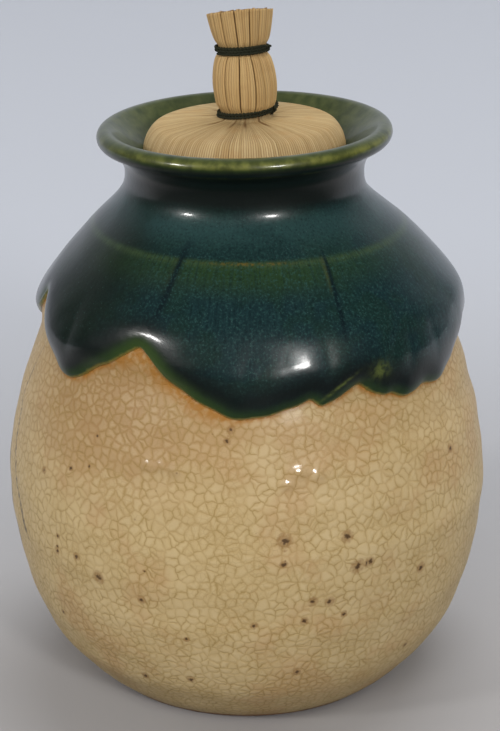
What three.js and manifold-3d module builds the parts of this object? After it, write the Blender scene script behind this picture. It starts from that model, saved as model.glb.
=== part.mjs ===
// A small thrown bottle for sugar sweets: a cream crackle body under a poured green glaze, and a
// stopper of bound rush in its neck. Millimetres, +Z up, the origin at the middle of the foot.
// An azimuth of 0 is the front, towards -Y, and grows towards +X.

import * as THREE from 'three';
import { mergeVertices } from 'three/addons/utils/BufferGeometryUtils.js';
import Module from 'manifold-3d';

const wasm = await Module();
wasm.setup();

// Thrown body, from the foot up: radii are of the clay, under the green glaze
const footRadius = 23.2;
const footRingWidth = 4.2;
const footRecess = 1.2;
const footChamfer = 0.6;
const bellyRadius = 38.35;
const bellyHeight = 34;
const waistRadius = 32.7;
const waistAboveBelly = 24.5;
const shoulderInset = 0.25;
const shoulderAboveWaist = 4;
const neckRadius = 17.7;
const neckAboveShoulder = 20.7;
const lipFlare = 4.85;
const lipAboveNeck = 7.35;
const lipThickness = 2.9;
const lipTurn = 50; // degrees that the lip's underside turns out of the level
const wallThickness = 3.5;
const floorThickness = 4.3;
const throatDrop = 1.7; // from the neck's narrowest height down to the throat's lower edge

// Poured glaze, and the rolled bead along its lower edge
const glazeThickness = 0.5;
const beadHeight = 0.3;
const beadWidth = 1.1;

// Each run of the glaze: the azimuth of its tip, and of the notch that parts it from the next run,
// each with its height, from 0 at the lowest tip to 1 at the front's highest notch, and how round
// the edge is on the way to and from the tip
const glazeLowest = 3.5; // how far under the waist the lowest tip hangs
const glazeSwing = 9; // from there up to the front's highest notch
const glazeRuns = [
  { tip: [-51, 0.16], notch: [-29.7, 1], round: [2, 0.95] },
  { tip: [0.7, 0], notch: [16.2, 0.28], round: [1.65, 1.5] },
  { tip: [18.6, 0.12], notch: [29.5, 0.38], round: [1.5, 0.8] },
  { tip: [46, 0.01], notch: [82, 0.56], round: [2, 1.2] },
  { tip: [109, 0], notch: [138, 0.72], round: [1.8, 1.6] },
  { tip: [166, 0.11], notch: [191, 0.78], round: [1.6, 1.8] },
  { tip: [219, 0], notch: [247, 0.61], round: [1.9, 1.5] },
  { tip: [263, 0.39], notch: [283, 1.2], round: [1.7, 1.7] },
];

// Rush stopper: the pad that closes the mouth, and the handle over it
const mouthClearance = 0.3;
const pieceGap = 0.25;
const padOverhang = 0.9; // how far the pad is wider than what the throat lets through
const padCrown = 1; // how far the pad stands over the lip
const padShoulderDrop = 3; // from the lip's top down to the pad's widest place
const padTaper = 4.2; // from the seat in the throat down to the pad's underside
const tailRadius = 2.8;
const tailLength = 2.1;
const handleLength = 16.1; // from the pad's crown to the middle of the cut top
const handleBulge = 4.95;
const bulgeHeight = 5.05;
const handleTopRadius = 5.1;
const handleLean = 4; // degrees to the left
const cutTilt = 10; // degrees, up towards cutAzimuth
const cutAzimuth = 16;
const rushThickness = 1;
const padRushThickness = 0.7;
const rushRidge = 0.16; // how deep the grooves between two rushes of a bunch are

// Tying thread
const threadDiameter = 0.45;
const turnGap = 0.12; // between two turns of a tie
const lowerTieRadius = 3.85; // of the rushes inside the tie
const lowerTieTurns = 1.5;
const upperTieRadius = 3.6;
const upperTieHeight = 10.65; // over the pad's crown
const upperTieTurns = 2;
const underTieTurns = 1.5;
const threadEnd = 0.5; // how far a cut end stands off
const knotRadius = 0.6;
const knotAzimuth = 78; // where the lower tie is knotted
const upperEndAzimuth = 80; // where the upper tie's thread ends
const underEndAzimuth = 160;

// Widths of the sixteen bunches in degrees, from just left of the front and on round
const firstBunchAzimuth = -9.1;
const bunchWidths = [29, 20, 20, 22, 25, 21, 24, 20, 25, 21, 23, 21, 21, 20, 19, 29];

// Facets
const coarseColumns = 48;
const coreSides = 20;
const discSides = 32;
const threadSides = 6;
const threadStepsPerTurn = 16;

const radians = THREE.MathUtils.degToRad;
const mix = THREE.MathUtils.lerp;

// Heights and radii that follow from the sizes above
const waistHeight = bellyHeight + waistAboveBelly;
const shoulderHeight = waistHeight + shoulderAboveWaist;
const shoulderRadius = waistRadius - shoulderInset;
const neckHeight = shoulderHeight + neckAboveShoulder;
const lipHeight = neckHeight + lipAboveNeck;
const glazedNeck = neckRadius + glazeThickness;
const throatRadius = glazedNeck - wallThickness;
const throatHeight = neckHeight - throatDrop;
const crownHeight = lipHeight + padCrown;

const point = (azimuth, radius, height) =>
  new THREE.Vector3(radius * Math.sin(azimuth), -radius * Math.cos(azimuth), height);

// Skins a row of closed loops and caps both ends. Neighbouring loops have as many points, or one
// has twice as many as the other. Loops run anticlockwise as seen from where the row leads to.
function loft(loops) {
  const positions = [];
  const faces = [];
  const starts = loops.map((loop) => {
    const start = positions.length / 3;
    for (const p of loop) positions.push(p.x, p.y, p.z);
    return start;
  });
  const at = (k, i) => starts[k] + (i % loops[k].length);
  for (let k = 0; k + 1 < loops.length; k++) {
    const here = loops[k].length;
    const next = loops[k + 1].length;
    for (let i = 0; i < Math.min(here, next); i++) {
      if (here === next) {
        faces.push(at(k, i), at(k, i + 1), at(k + 1, i + 1));
        faces.push(at(k, i), at(k + 1, i + 1), at(k + 1, i));
      } else if (here < next) {
        faces.push(at(k, i), at(k + 1, 2 * i + 1), at(k + 1, 2 * i));
        faces.push(at(k, i), at(k, i + 1), at(k + 1, 2 * i + 1));
        faces.push(at(k, i + 1), at(k + 1, 2 * i + 2), at(k + 1, 2 * i + 1));
      } else {
        faces.push(at(k + 1, i), at(k, 2 * i), at(k, 2 * i + 1));
        faces.push(at(k + 1, i), at(k, 2 * i + 1), at(k + 1, i + 1));
        faces.push(at(k + 1, i + 1), at(k, 2 * i + 1), at(k, 2 * i + 2));
      }
    }
  }
  for (const [k, turn] of [[0, 1], [loops.length - 1, 0]]) {
    const middle = new THREE.Vector3();
    for (const p of loops[k]) middle.addScaledVector(p, 1 / loops[k].length);
    const centre = positions.length / 3;
    positions.push(middle.x, middle.y, middle.z);
    for (let i = 0; i < loops[k].length; i++) faces.push(centre, at(k, i + turn), at(k, i + 1 - turn));
  }
  const geometry = new THREE.BufferGeometry();
  geometry.setAttribute('position', new THREE.Float32BufferAttribute(positions, 3));
  geometry.setIndex(faces);
  geometry.computeVertexNormals();
  return geometry;
}

// The clay's outline as [height, radius], and the smooth curve through it
const outline = [
  [0, footRadius],
  [0.12 * bellyHeight, mix(footRadius, bellyRadius, 0.31)],
  [0.33 * bellyHeight, mix(footRadius, bellyRadius, 0.67)],
  [0.64 * bellyHeight, mix(footRadius, bellyRadius, 0.91)],
  [bellyHeight, bellyRadius],
  [mix(bellyHeight, waistHeight, 0.42), mix(bellyRadius, waistRadius, 0.24)],
  [mix(bellyHeight, waistHeight, 0.74), mix(bellyRadius, waistRadius, 0.62)],
  [waistHeight, waistRadius],
  [shoulderHeight, shoulderRadius],
  [mix(shoulderHeight, neckHeight, 0.22), mix(shoulderRadius, neckRadius, 0.1)],
  [mix(shoulderHeight, neckHeight, 0.55), mix(shoulderRadius, neckRadius, 0.5)],
  [mix(shoulderHeight, neckHeight, 0.8), mix(shoulderRadius, neckRadius, 0.85)],
  [neckHeight, neckRadius],
];

// The outline stands upright at the belly, its widest place, and at the neck
function outlineSlope(i) {
  const radius = outline[i][1];
  if (radius === bellyRadius || i === outline.length - 1) return 0;
  const before = outline[Math.max(i - 1, 0)];
  const after = outline[i + 1];
  return (after[1] - before[1]) / (after[0] - before[0]);
}

function clayRadius(height) {
  const above = outline.findIndex(([h]) => h >= height);
  const i = Math.max(above === -1 ? outline.length - 2 : above - 1, 0);
  const [h0, r0] = outline[i];
  const [h1, r1] = outline[i + 1];
  const span = h1 - h0;
  const t = (height - h0) / span;
  const bend0 = t * (1 - t) * (1 - t) * span * outlineSlope(i);
  const bend1 = t * t * (t - 1) * span * outlineSlope(i + 1);
  return mix(r0, r1, t * t * (3 - 2 * t)) + bend0 + bend1;
}

// A point of the inner wall: the outline moved in by the wall, square to the surface
function innerWall(height) {
  const step = 0.1;
  const slope = (clayRadius(height + step) - clayRadius(height - step)) / (2 * step);
  const length = Math.hypot(1, slope);
  return [clayRadius(height) - wallThickness / length, height + (wallThickness * slope) / length];
}

// Height of the green glaze's lower edge at an azimuth in degrees
function glazeEdge(azimuth) {
  const turn = 360;
  for (let i = 0; i < glazeRuns.length; i++) {
    const run = glazeRuns[i];
    const before = glazeRuns.at(i - 1).notch;
    const width = (run.notch[0] - before[0] + turn) % turn;
    const along = (((azimuth - before[0]) % turn) + turn) % turn;
    if (along > width) continue;
    const tipAlong = (run.tip[0] - before[0] + turn) % turn;
    const rising = along > tipAlong;
    const reach = rising ? width - tipAlong : tipAlong;
    const notchHeight = rising ? run.notch[1] : before[1];
    const share = Math.abs(along - tipAlong) / reach;
    const swing = mix(run.tip[1], notchHeight, share ** run.round[rising ? 1 : 0]);
    return waistHeight - glazeLowest + swing * glazeSwing;
  }
  return waistHeight;
}

// How far the green glaze stands over the clay, by the height over its edge
function glazeRelief(overEdge) {
  if (overEdge <= 0) return 0;
  const film = glazeThickness * (1 - Math.exp(-overEdge / (0.3 * beadWidth)));
  const bead = (beadHeight * overEdge * Math.exp(1 - overEdge / beadWidth)) / beadWidth;
  return film + bead;
}

function bottleRings() {
  const rings = [];
  const addRing = (columns, place) => {
    const ring = [];
    for (let i = 0; i < columns; i++) {
      const azimuth = (i / columns) * 2 * Math.PI;
      ring.push(point(azimuth, ...place(THREE.MathUtils.radToDeg(azimuth))));
    }
    rings.push(ring);
  };
  const coarse = (radius, height) => addRing(coarseColumns, () => [radius, height]);
  const fine = (heightAt) =>
    addRing(2 * coarseColumns, (azimuth) => {
      const edge = glazeEdge(azimuth);
      const height = heightAt(edge);
      return [clayRadius(height) + glazeRelief(height - edge), height];
    });

  // Underside and foot ring
  coarse(footRadius - footRingWidth - footRecess / 3, footRecess);
  coarse(footRadius - footRingWidth, 0);
  coarse(footRadius - footChamfer, 0);

  // Belly, bare of green glaze
  const bellyTop = mix(bellyHeight, waistHeight, 0.55);
  coarse(clayRadius(footChamfer), footChamfer);
  for (const share of [0.13, 0.3, 0.52, 0.76, 1]) {
    coarse(clayRadius(share * bellyHeight), share * bellyHeight);
  }
  for (const share of [0.36, 0.7, 1]) {
    const height = mix(bellyHeight, bellyTop, share);
    coarse(clayRadius(height), height);
  }

  // Waist and shoulder, with rows that follow the glaze's edge
  const beadTop = 2.2 * beadWidth;
  const shoulderTop = mix(shoulderHeight, neckHeight, 0.4);
  fine((edge) => mix(bellyTop, edge, 0.5));
  fine((edge) => edge - beadWidth / 2);
  fine((edge) => edge);
  fine((edge) => edge + 0.35 * beadWidth);
  fine((edge) => edge + beadWidth);
  fine((edge) => edge + beadTop);
  fine((edge) => mix(edge + beadTop, shoulderTop, 0.5));
  for (const share of [0, 0.28, 0.54, 0.78]) fine(() => mix(shoulderTop, neckHeight, share));
  coarse(glazedNeck, neckHeight);

  // Rolled lip: flare below it, the roll itself, and the flare down into the throat
  const roll = lipThickness / 2;
  const rollRadius = glazedNeck + lipFlare - roll - glazeThickness / 2;
  const rollCentre = new THREE.Vector2(rollRadius, lipHeight - roll);
  const onRoll = (degrees) =>
    new THREE.Vector2(Math.cos(radians(degrees)), Math.sin(radians(degrees)))
      .multiplyScalar(roll)
      .add(rollCentre);
  const flareTo = (wallRadius, wallHeight, degrees) => {
    const end = onRoll(degrees);
    const along = (end.x - wallRadius) / Math.sin(radians(lipTurn));
    const bend = new THREE.Vector2(wallRadius, end.y - along * Math.cos(radians(lipTurn)));
    return new THREE.QuadraticBezierCurve(new THREE.Vector2(wallRadius, wallHeight), bend, end);
  };
  const underLip = flareTo(glazedNeck, neckHeight, -lipTurn).getPoints(3);
  const intoThroat = flareTo(throatRadius, throatHeight, 180 - lipTurn).getPoints(4);
  for (const p of underLip.slice(1)) coarse(p.x, p.y);
  for (const share of [0.2, 0.4, 0.6, 0.8]) {
    const p = onRoll(-lipTurn + share * 180);
    coarse(p.x, p.y);
  }
  for (const p of intoThroat.reverse()) coarse(p.x, p.y);

  // Inside, an even wall down to the floor
  for (const share of [0.8, 0.5, 0.2]) coarse(...innerWall(mix(shoulderHeight, neckHeight, share)));
  for (const share of [0.95, 0.62, 0.3]) coarse(...innerWall(mix(bellyHeight, waistHeight, share)));
  for (const share of [0.92, 0.6, 0.32]) coarse(...innerWall(share * bellyHeight));
  const floorHeight = footRecess + floorThickness;
  coarse(footRadius - wallThickness / 2, floorHeight + 0.3 * wallThickness);
  coarse(footRadius - 1.5 * wallThickness, floorHeight);
  return rings;
}

// Leans everything over the pad's crown to the left, as the handle does
function lean(p) {
  p.x -= Math.tan(radians(handleLean)) * Math.max(p.z - crownHeight, 0);
  return p;
}

// Height of the slanting cut across the handle's top
function cutHeight(p) {
  const towards = p.x * Math.sin(radians(cutAzimuth)) - p.y * Math.cos(radians(cutAzimuth));
  return cutMiddle + towards * Math.tan(radians(cutTilt));
}

// The way of the outer rushes, as [radius, height, thickness] of their outer side: from the tail
// under the pad, out and up over its edge, in to the lower tie and up the handle to the cut top
const threadRoom = threadDiameter + 2 * pieceGap;
const padSeat = throatRadius - mouthClearance;
const padRadius = padSeat + padOverhang;
const padWidest = lipHeight - padShoulderDrop;
const padEdge = crownHeight - padWidest; // height of the rounded edge
const padUnderside = throatHeight - padTaper;
const upperTieMiddle = crownHeight + upperTieHeight;
const tieHeight = (turns) => turns * (threadDiameter + turnGap) + threadDiameter;
const lowerTieMiddle = crownHeight + pieceGap + tieHeight(lowerTieTurns) / 2;
const lowerPinch = (tieHeight(lowerTieTurns) + pieceGap) / 2;
const upperPinch = (tieHeight(upperTieTurns) + pieceGap) / 2;
const bulgeMiddle = crownHeight + bulgeHeight;
const cutMiddle = crownHeight + handleLength;
const rushWay = [
  [tailRadius, padUnderside - tailLength, padRushThickness],
  [tailRadius, padUnderside - 0.25 * tailLength, padRushThickness],
  [tailRadius + threadRoom, padUnderside, padRushThickness],
  [0.8 * padSeat, padUnderside + 0.07 * padTaper, padRushThickness],
  [0.93 * padSeat, padUnderside + 0.4 * padTaper, padRushThickness],
  [padSeat, throatHeight, padRushThickness],
  [padRadius, padWidest, padRushThickness],
  [0.98 * padRadius, padWidest + 0.45 * padEdge, padRushThickness],
  [0.92 * padRadius, padWidest + 0.73 * padEdge, padRushThickness],
  [0.72 * padRadius, crownHeight - 0.11 * padEdge, padRushThickness],
  [lowerTieRadius + threadRoom, crownHeight, rushThickness],
  [lowerTieRadius + pieceGap, crownHeight, rushThickness],
  [lowerTieRadius, crownHeight + pieceGap, rushThickness],
  [lowerTieRadius, lowerTieMiddle + lowerPinch, rushThickness],
  [mix(lowerTieRadius, handleBulge, 0.75), mix(lowerTieMiddle, bulgeMiddle, 0.46), rushThickness],
  [handleBulge, bulgeMiddle, rushThickness],
  [mix(handleBulge, upperTieRadius, 0.25), mix(bulgeMiddle, upperTieMiddle, 0.5), rushThickness],
  [upperTieRadius, upperTieMiddle - upperPinch, rushThickness],
  [upperTieRadius, upperTieMiddle + upperPinch, rushThickness],
  [mix(upperTieRadius, handleTopRadius, 0.7), mix(upperTieMiddle, cutMiddle, 0.48), rushThickness],
  [handleTopRadius, cutMiddle, rushThickness],
];
const cutStation = rushWay.indexOf(rushWay.at(-1));
const tailStation = rushWay.findIndex(([, height]) => height >= padUnderside);
const crownStation = rushWay.findIndex(([, height]) => height > crownHeight) - 1;
const pinchStation = rushWay.findIndex(([, height]) => height > lowerTieMiddle);

// The inner side of the rushes at a station, moved in by a further gap
function underRush(station, gap) {
  const before = rushWay[Math.max(station - 1, 0)];
  const after = rushWay[station + 1] ?? rushWay[station];
  const along = new THREE.Vector2(after[0] - before[0], after[1] - before[1]).normalize();
  const [radius, height, thickness] = rushWay[station];
  return [radius - (thickness + gap) * along.y, height + (thickness + gap) * along.x];
}

// Where each bunch starts and ends round the stopper, in degrees
const wholeTurn = bunchWidths.reduce((sum, width) => sum + width, 0);
const bunches = [];
let bunchStart = firstBunchAzimuth;
for (const width of bunchWidths) {
  const turned = (width / wholeTurn) * 360;
  bunches.push({ middle: bunchStart + turned / 2, half: turned / 2 });
  bunchStart += turned;
}
const widestHalf = radians(Math.max(...bunches.map((bunch) => bunch.half)));

function rushStrand({ middle, half }) {
  const across = (radius, height, share) => {
    const reach = radians(half) - Math.asin(pieceGap / 2 / radius);
    return point(radians(middle) + share * reach, radius, height);
  };
  const loops = rushWay.map(([radius, height], station) => {
    const [groove, grooveHeight] = underRush(station, rushRidge - rushWay[station][2]);
    const [inner, innerHeight] = underRush(station, 0);
    const loop = [
      across(groove, grooveHeight, -1),
      across(radius, height, -0.5),
      across(groove, grooveHeight, 0),
      across(radius, height, 0.5),
      across(groove, grooveHeight, 1),
      across(inner, innerHeight, 1),
      across(inner, innerHeight, -1),
    ];
    for (const p of loop) {
      if (station === cutStation) p.z = cutHeight(p);
      lean(p);
    }
    return loop;
  });
  return loft(loops);
}

// What lies inside the rushes at a station stays clear of their flat inner sides
function insideRush(station) {
  const [radius, height] = underRush(station, pieceGap);
  return [radius * Math.cos(widestHalf), height];
}
const stemRadius = insideRush(0)[0];

// The straight rushes inside: they follow the outer ones in the handle, and pass through the pad
function coreBundle() {
  const profile = [[stemRadius, padUnderside - tailLength], [stemRadius, crownHeight]];
  for (let station = pinchStation; station <= cutStation; station++) {
    profile.push(insideRush(station));
  }
  const loops = profile.map(([radius, height], k) =>
    Array.from({ length: coreSides }, (_, i) => {
      const p = point((i / coreSides) * 2 * Math.PI, radius, height);
      if (k === profile.length - 1) p.z = cutHeight(p);
      return lean(p);
    }),
  );
  return loft(loops);
}

// The disc of wadding between the core and the folded rushes, a closed ring in section
function padDisc() {
  const hole = stemRadius + pieceGap;
  const profile = [];
  for (let station = tailStation; station < crownStation; station++) {
    profile.push(new THREE.Vector2(...insideRush(station)));
  }
  const last = profile.at(-1);
  profile.push(new THREE.Vector2(hole, last.y), new THREE.Vector2(hole, profile[0].y), profile[0]);
  const disc = new THREE.LatheGeometry(profile, discSides);
  disc.rotateX(Math.PI / 2);
  return disc;
}

// A thread wound about the Z axis, whose last end stands off
class Wrap extends THREE.Curve {
  constructor(radius, turns, endAzimuth) {
    super();
    Object.assign(this, { radius, turns, endAzimuth });
  }

  getPoint(t, target = new THREE.Vector3()) {
    const turnsLeft = (1 - t) * this.turns;
    const lift = threadEnd * Math.max(0, 1 - turnsLeft / 0.12) ** 2;
    const azimuth = radians(this.endAzimuth) - turnsLeft * 2 * Math.PI;
    const rise = (t - 0.5) * this.turns * (threadDiameter + turnGap);
    return target.copy(point(azimuth, this.radius + lift, rise));
  }
}

function threadAlong(path, steps) {
  const section = new THREE.Shape().absarc(0, 0, threadDiameter / 2, 0, 2 * Math.PI);
  return new THREE.ExtrudeGeometry(section, {
    extrudePath: path,
    steps,
    curveSegments: threadSides / 2,
    bevelEnabled: false,
  });
}

function wrap(rushRadius, turns, endAzimuth) {
  const radius = rushRadius + pieceGap + threadDiameter / 2;
  return threadAlong(new Wrap(radius, turns, endAzimuth), Math.round(threadStepsPerTurn * turns));
}

// Joins overlapping closed meshes into one body
function joined(geometries) {
  const solids = geometries.map((geometry) => {
    const bare = geometry.clone();
    bare.deleteAttribute('normal');
    bare.deleteAttribute('uv');
    const merged = mergeVertices(bare);
    return new wasm.Manifold(
      new wasm.Mesh({
        numProp: 3,
        vertProperties: merged.attributes.position.array,
        triVerts: new Uint32Array(merged.index.array),
      }),
    );
  });
  const mesh = solids.reduce((sum, solid) => sum.add(solid)).getMesh();
  const geometry = new THREE.BufferGeometry();
  geometry.setAttribute('position', new THREE.BufferAttribute(mesh.vertProperties, 3));
  geometry.setIndex(new THREE.BufferAttribute(mesh.triVerts, 1));
  geometry.computeVertexNormals();
  return geometry;
}

// The lower tie's knot sits on its right side, with two short ends
function lowerTie() {
  const radius = lowerTieRadius + pieceGap + threadDiameter / 2;
  const coil = wrap(lowerTieRadius, lowerTieTurns, knotAzimuth);
  const knot = new THREE.SphereGeometry(knotRadius, 8, 6);
  knot.translate(...point(radians(knotAzimuth), radius + 0.25 * knotRadius, 0).toArray());
  const end = new THREE.QuadraticBezierCurve3(
    point(radians(knotAzimuth), radius + 0.25 * knotRadius, 0),
    point(radians(knotAzimuth + 8), radius + knotRadius, knotRadius),
    point(radians(knotAzimuth + 14), radius + knotRadius, 2 * knotRadius),
  );
  return joined([coil, knot, threadAlong(end, 3)]);
}

const cream = new THREE.Color(0xb79c72);
const green = new THREE.Color(0x1f4a44);
const stoneware = new THREE.MeshStandardMaterial({ roughness: 0.3, vertexColors: true });
const outerRush = new THREE.MeshStandardMaterial({ color: 0xb89664, roughness: 0.7 });
const innerRush = new THREE.MeshStandardMaterial({ color: 0xa98a5c, roughness: 0.8 });
const wadding = new THREE.MeshStandardMaterial({ color: 0xcbbd9c, roughness: 1 });
const thread = new THREE.MeshStandardMaterial({ color: 0x1d2320, roughness: 0.8 });

// Paints the green glaze on the outside over its edge, and on the lip and the throat
function glazed(geometry) {
  const { position } = geometry.attributes;
  const colours = [];
  for (let i = 0; i < position.count; i++) {
    const azimuth = THREE.MathUtils.radToDeg(Math.atan2(position.getX(i), -position.getY(i)));
    const radius = Math.hypot(position.getX(i), position.getY(i));
    const height = position.getZ(i);
    const outside = height > neckHeight || radius > clayRadius(height) - wallThickness / 2;
    (outside && height >= glazeEdge(azimuth) ? green : cream).toArray(colours, 3 * i);
  }
  geometry.setAttribute('color', new THREE.Float32BufferAttribute(colours, 3));
  return geometry;
}

function named(name, geometry, material) {
  const mesh = new THREE.Mesh(geometry, material);
  mesh.name = name;
  return mesh;
}

const bottle = new THREE.Group();
bottle.add(named('bottle_body', glazed(loft(bottleRings())), stoneware));

const stopper = new THREE.Group();
stopper.add(named('core_bundle', coreBundle(), innerRush));
stopper.add(named('pad_disc', padDisc(), wadding));
bunches.forEach((bunch, i) => {
  const number = String(i + 1).padStart(2, '0');
  stopper.add(named(`rush_strand_${number}`, rushStrand(bunch), outerRush));
});

const upper = named('upper_tie', wrap(upperTieRadius, upperTieTurns, upperEndAzimuth), thread);
upper.position.copy(lean(new THREE.Vector3(0, 0, upperTieMiddle)));
const lower = named('lower_tie', lowerTie(), thread);
lower.position.z = lowerTieMiddle;
const under = named('under_tie', wrap(tailRadius, underTieTurns, underEndAzimuth), thread);
under.position.z = padUnderside - 0.62 * tailLength;
stopper.add(upper, lower, under);

const sweetsBottle = new THREE.Group();
sweetsBottle.add(bottle, stopper);
export default sweetsBottle;
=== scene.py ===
# %% [markdown]
# A stoneware bottle for small sugar sweets
#
# The real bottle is thrown on a wheel, dipped in a cream glaze that crackles as it cools, and
# then has a copper green glaze poured over its neck and shoulder. A stopper of bound rush sits
# in the mouth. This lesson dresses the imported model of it: each cell makes one piece or finish.

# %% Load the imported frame
import math

import bpy
import numpy as np
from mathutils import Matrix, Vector


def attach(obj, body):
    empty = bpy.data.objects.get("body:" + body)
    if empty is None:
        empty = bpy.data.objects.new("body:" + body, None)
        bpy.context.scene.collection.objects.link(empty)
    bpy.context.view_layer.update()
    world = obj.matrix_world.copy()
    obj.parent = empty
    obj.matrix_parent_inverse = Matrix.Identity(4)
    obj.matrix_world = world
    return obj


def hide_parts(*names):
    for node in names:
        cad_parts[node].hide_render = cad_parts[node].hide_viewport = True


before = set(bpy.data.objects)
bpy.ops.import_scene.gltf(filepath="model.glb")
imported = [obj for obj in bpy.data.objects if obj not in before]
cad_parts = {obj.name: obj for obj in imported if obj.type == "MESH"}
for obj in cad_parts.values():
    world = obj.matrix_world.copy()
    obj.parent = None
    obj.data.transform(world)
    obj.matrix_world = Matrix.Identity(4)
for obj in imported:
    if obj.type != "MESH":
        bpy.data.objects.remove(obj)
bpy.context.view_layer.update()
MM = 0.001

# %% [markdown]
# The camera stands where the photographer did
#
# The outline of the bottle and the ellipse of its lip give the height that the camera looked
# from, about 20 degrees over the table. The distance is set at 350 mm, and the lens follows.

# %% Camera
CAMERA_DISTANCE = 0.35
CAMERA_ELEVATION = math.radians(20.4)
LENS = 107.65
SENSOR_HEIGHT = 36
SHIFT_X = 0.004
LOOK_AT = Vector((0, 0, 0.0507))


def add_camera():
    data = bpy.data.cameras.new("camera")
    data.sensor_fit = "VERTICAL"
    data.sensor_height = SENSOR_HEIGHT
    data.lens = LENS
    data.shift_x = SHIFT_X
    camera = bpy.data.objects.new("camera", data)
    bpy.context.scene.collection.objects.link(camera)
    towards = Vector((0, -math.cos(CAMERA_ELEVATION), math.sin(CAMERA_ELEVATION)))
    camera.location = LOOK_AT + CAMERA_DISTANCE * towards
    camera.rotation_euler = (math.pi / 2 - CAMERA_ELEVATION, 0, 0)
    bpy.context.scene.camera = camera
    return camera


print("camera height in mm:", round(add_camera().location.z / MM))

# %% [markdown]
# A short way to write shader nodes
#
# Nodes can be placed by hand in the Shader Editor. In a script it reads better when what a node
# puts out can be added and multiplied like a number, and colours are laid over one another in a
# list, as a potter lays slip and glaze. Each sum or product below is still a node.


# %% Values that nodes put out
def srgb(red, green, blue):
    """A colour given from 0 to 255, as the linear value that Blender mixes."""
    channels = [value / 255 for value in (red, green, blue)]
    linear = [c / 12.92 if c <= 0.04045 else ((c + 0.055) / 1.055) ** 2.4 for c in channels]
    return (*linear, 1.0)


class Value:
    """What a node puts out; arithmetic on it adds Math nodes."""

    def __init__(self, recipe, socket):
        self.recipe = recipe
        self.socket = socket

    def __add__(self, other):
        return self.recipe.math("ADD", self, other)

    def __sub__(self, other):
        return self.recipe.math("SUBTRACT", self, other)

    def __rsub__(self, other):
        return self.recipe.math("SUBTRACT", other, self)

    def __mul__(self, other):
        return self.recipe.math("MULTIPLY", self, other)

    def __truediv__(self, other):
        return self.recipe.math("DIVIDE", self, other)

    def __rtruediv__(self, other):
        return self.recipe.math("DIVIDE", other, self)

    def fade(self, low, high, start=0.0, end=1.0):
        """A smooth change from start to end while the value goes from low to high."""
        span = (low, high, start, end)
        return self.recipe.node("MapRange", self, *span, interpolation_type="SMOOTHSTEP")

    def bell(self, middle, width):
        """1 at the middle, falling smoothly to 0 on both sides."""
        away = (self - middle) / width
        return self.recipe.math("EXPONENT", away * away * -1.0)


# %% Recipes of nodes
class Recipe:
    """Adds nodes to one tree; every call gives back what the new node puts out."""

    def __init__(self, tree):
        self.tree = tree

    def feed(self, socket, value):
        if isinstance(value, Value):
            self.tree.links.new(value.socket, socket)
        else:
            socket.default_value = value

    def node(self, kind, *inputs, output=0, **settings):
        """A new node; a setting that starts with a capital feeds the input of that name."""
        made = self.tree.nodes.new("ShaderNode" + kind)
        for label, value in settings.items():
            if label.islower():
                setattr(made, label, value)
        for socket, value in zip(made.inputs, inputs):
            self.feed(socket, value)
        for label, value in settings.items():
            if not label.islower():
                self.feed(made.inputs[label], value)
        if isinstance(output, tuple):
            return [Value(self, made.outputs[label]) for label in output]
        return Value(self, made.outputs[output])

    def math(self, operation, *inputs, **settings):
        return self.node("Math", *inputs, operation=operation, **settings)

    def vector(self, operation, *inputs, **settings):
        return self.node("VectorMath", *inputs, operation=operation, **settings)

    def attribute(self, name, output=2):
        return self.node("Attribute", attribute_name=name, output=output)

    def noise(self, place, size, detail=2.0, roughness=0.5):
        """Soft noise from 0 to 1 whose lumps are about size across."""
        grain = {"Scale": 1 / size, "Detail": detail, "Roughness": roughness}
        return self.node("TexNoise", Vector=place, output="Fac", **grain)

    def bump(self, height):
        """A normal tilted by a height in millimetres."""
        return self.node("Bump", Distance=MM, Height=height)

    def group(self, name, output="Value", **inputs):
        tree = bpy.data.node_groups[name]
        return self.node("Group", output=output, node_tree=tree, **inputs)

    def where(self):
        """Place in millimetres, azimuth in degrees and height in millimetres."""
        return self.group("Place", ("Place", "Azimuth", "Height"))

    def mix(self, share, first, second):
        made = self.tree.nodes.new("ShaderNodeMix")
        made.data_type = "RGBA"
        for index, value in ((0, share), (6, first), (7, second)):
            self.feed(made.inputs[index], value)
        return Value(self, made.outputs[2])

    def paint(self, colour, *layers):
        """Colours laid over one another, each with its share from 0 to 1."""
        for share, over in layers:
            colour = self.mix(share, colour, over)
        return colour


def new_group(name, inputs, outputs):
    """An empty shader node group: its recipe, what its inputs give, and its outputs."""
    group = bpy.data.node_groups.new(name, "ShaderNodeTree")
    for label, value in inputs.items():
        kind = "NodeSocketVector" if isinstance(value, tuple) else "NodeSocketFloat"
        socket = group.interface.new_socket(label, in_out="INPUT", socket_type=kind)
        socket.default_value = value
    for label, kind in outputs.items():
        group.interface.new_socket(label, in_out="OUTPUT", socket_type="NodeSocket" + kind)
    recipe = Recipe(group)
    entry = group.nodes.new("NodeGroupInput").outputs
    given = [Value(recipe, entry[label]) for label in inputs]
    return recipe, given, group.nodes.new("NodeGroupOutput").inputs


def new_material(name, **sockets):
    """A material with one Principled shader; sockets sets its plain values."""
    material = bpy.data.materials.new(name)
    material.use_nodes = True
    shader = material.node_tree.nodes["Principled BSDF"]
    for label, value in sockets.items():
        shader.inputs[label.replace("_", " ")].default_value = value
    return material, Recipe(material.node_tree), shader.inputs


print("a picked mid grey mixes as", round(srgb(128, 128, 128)[0], 3))

# %% [markdown]
# Effects that several finishes share
#
# Crackle, streaks, flecks and mottling turn up on more than one surface, so each is a node group
# that is built once. A material then places it with its own sizes.


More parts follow.
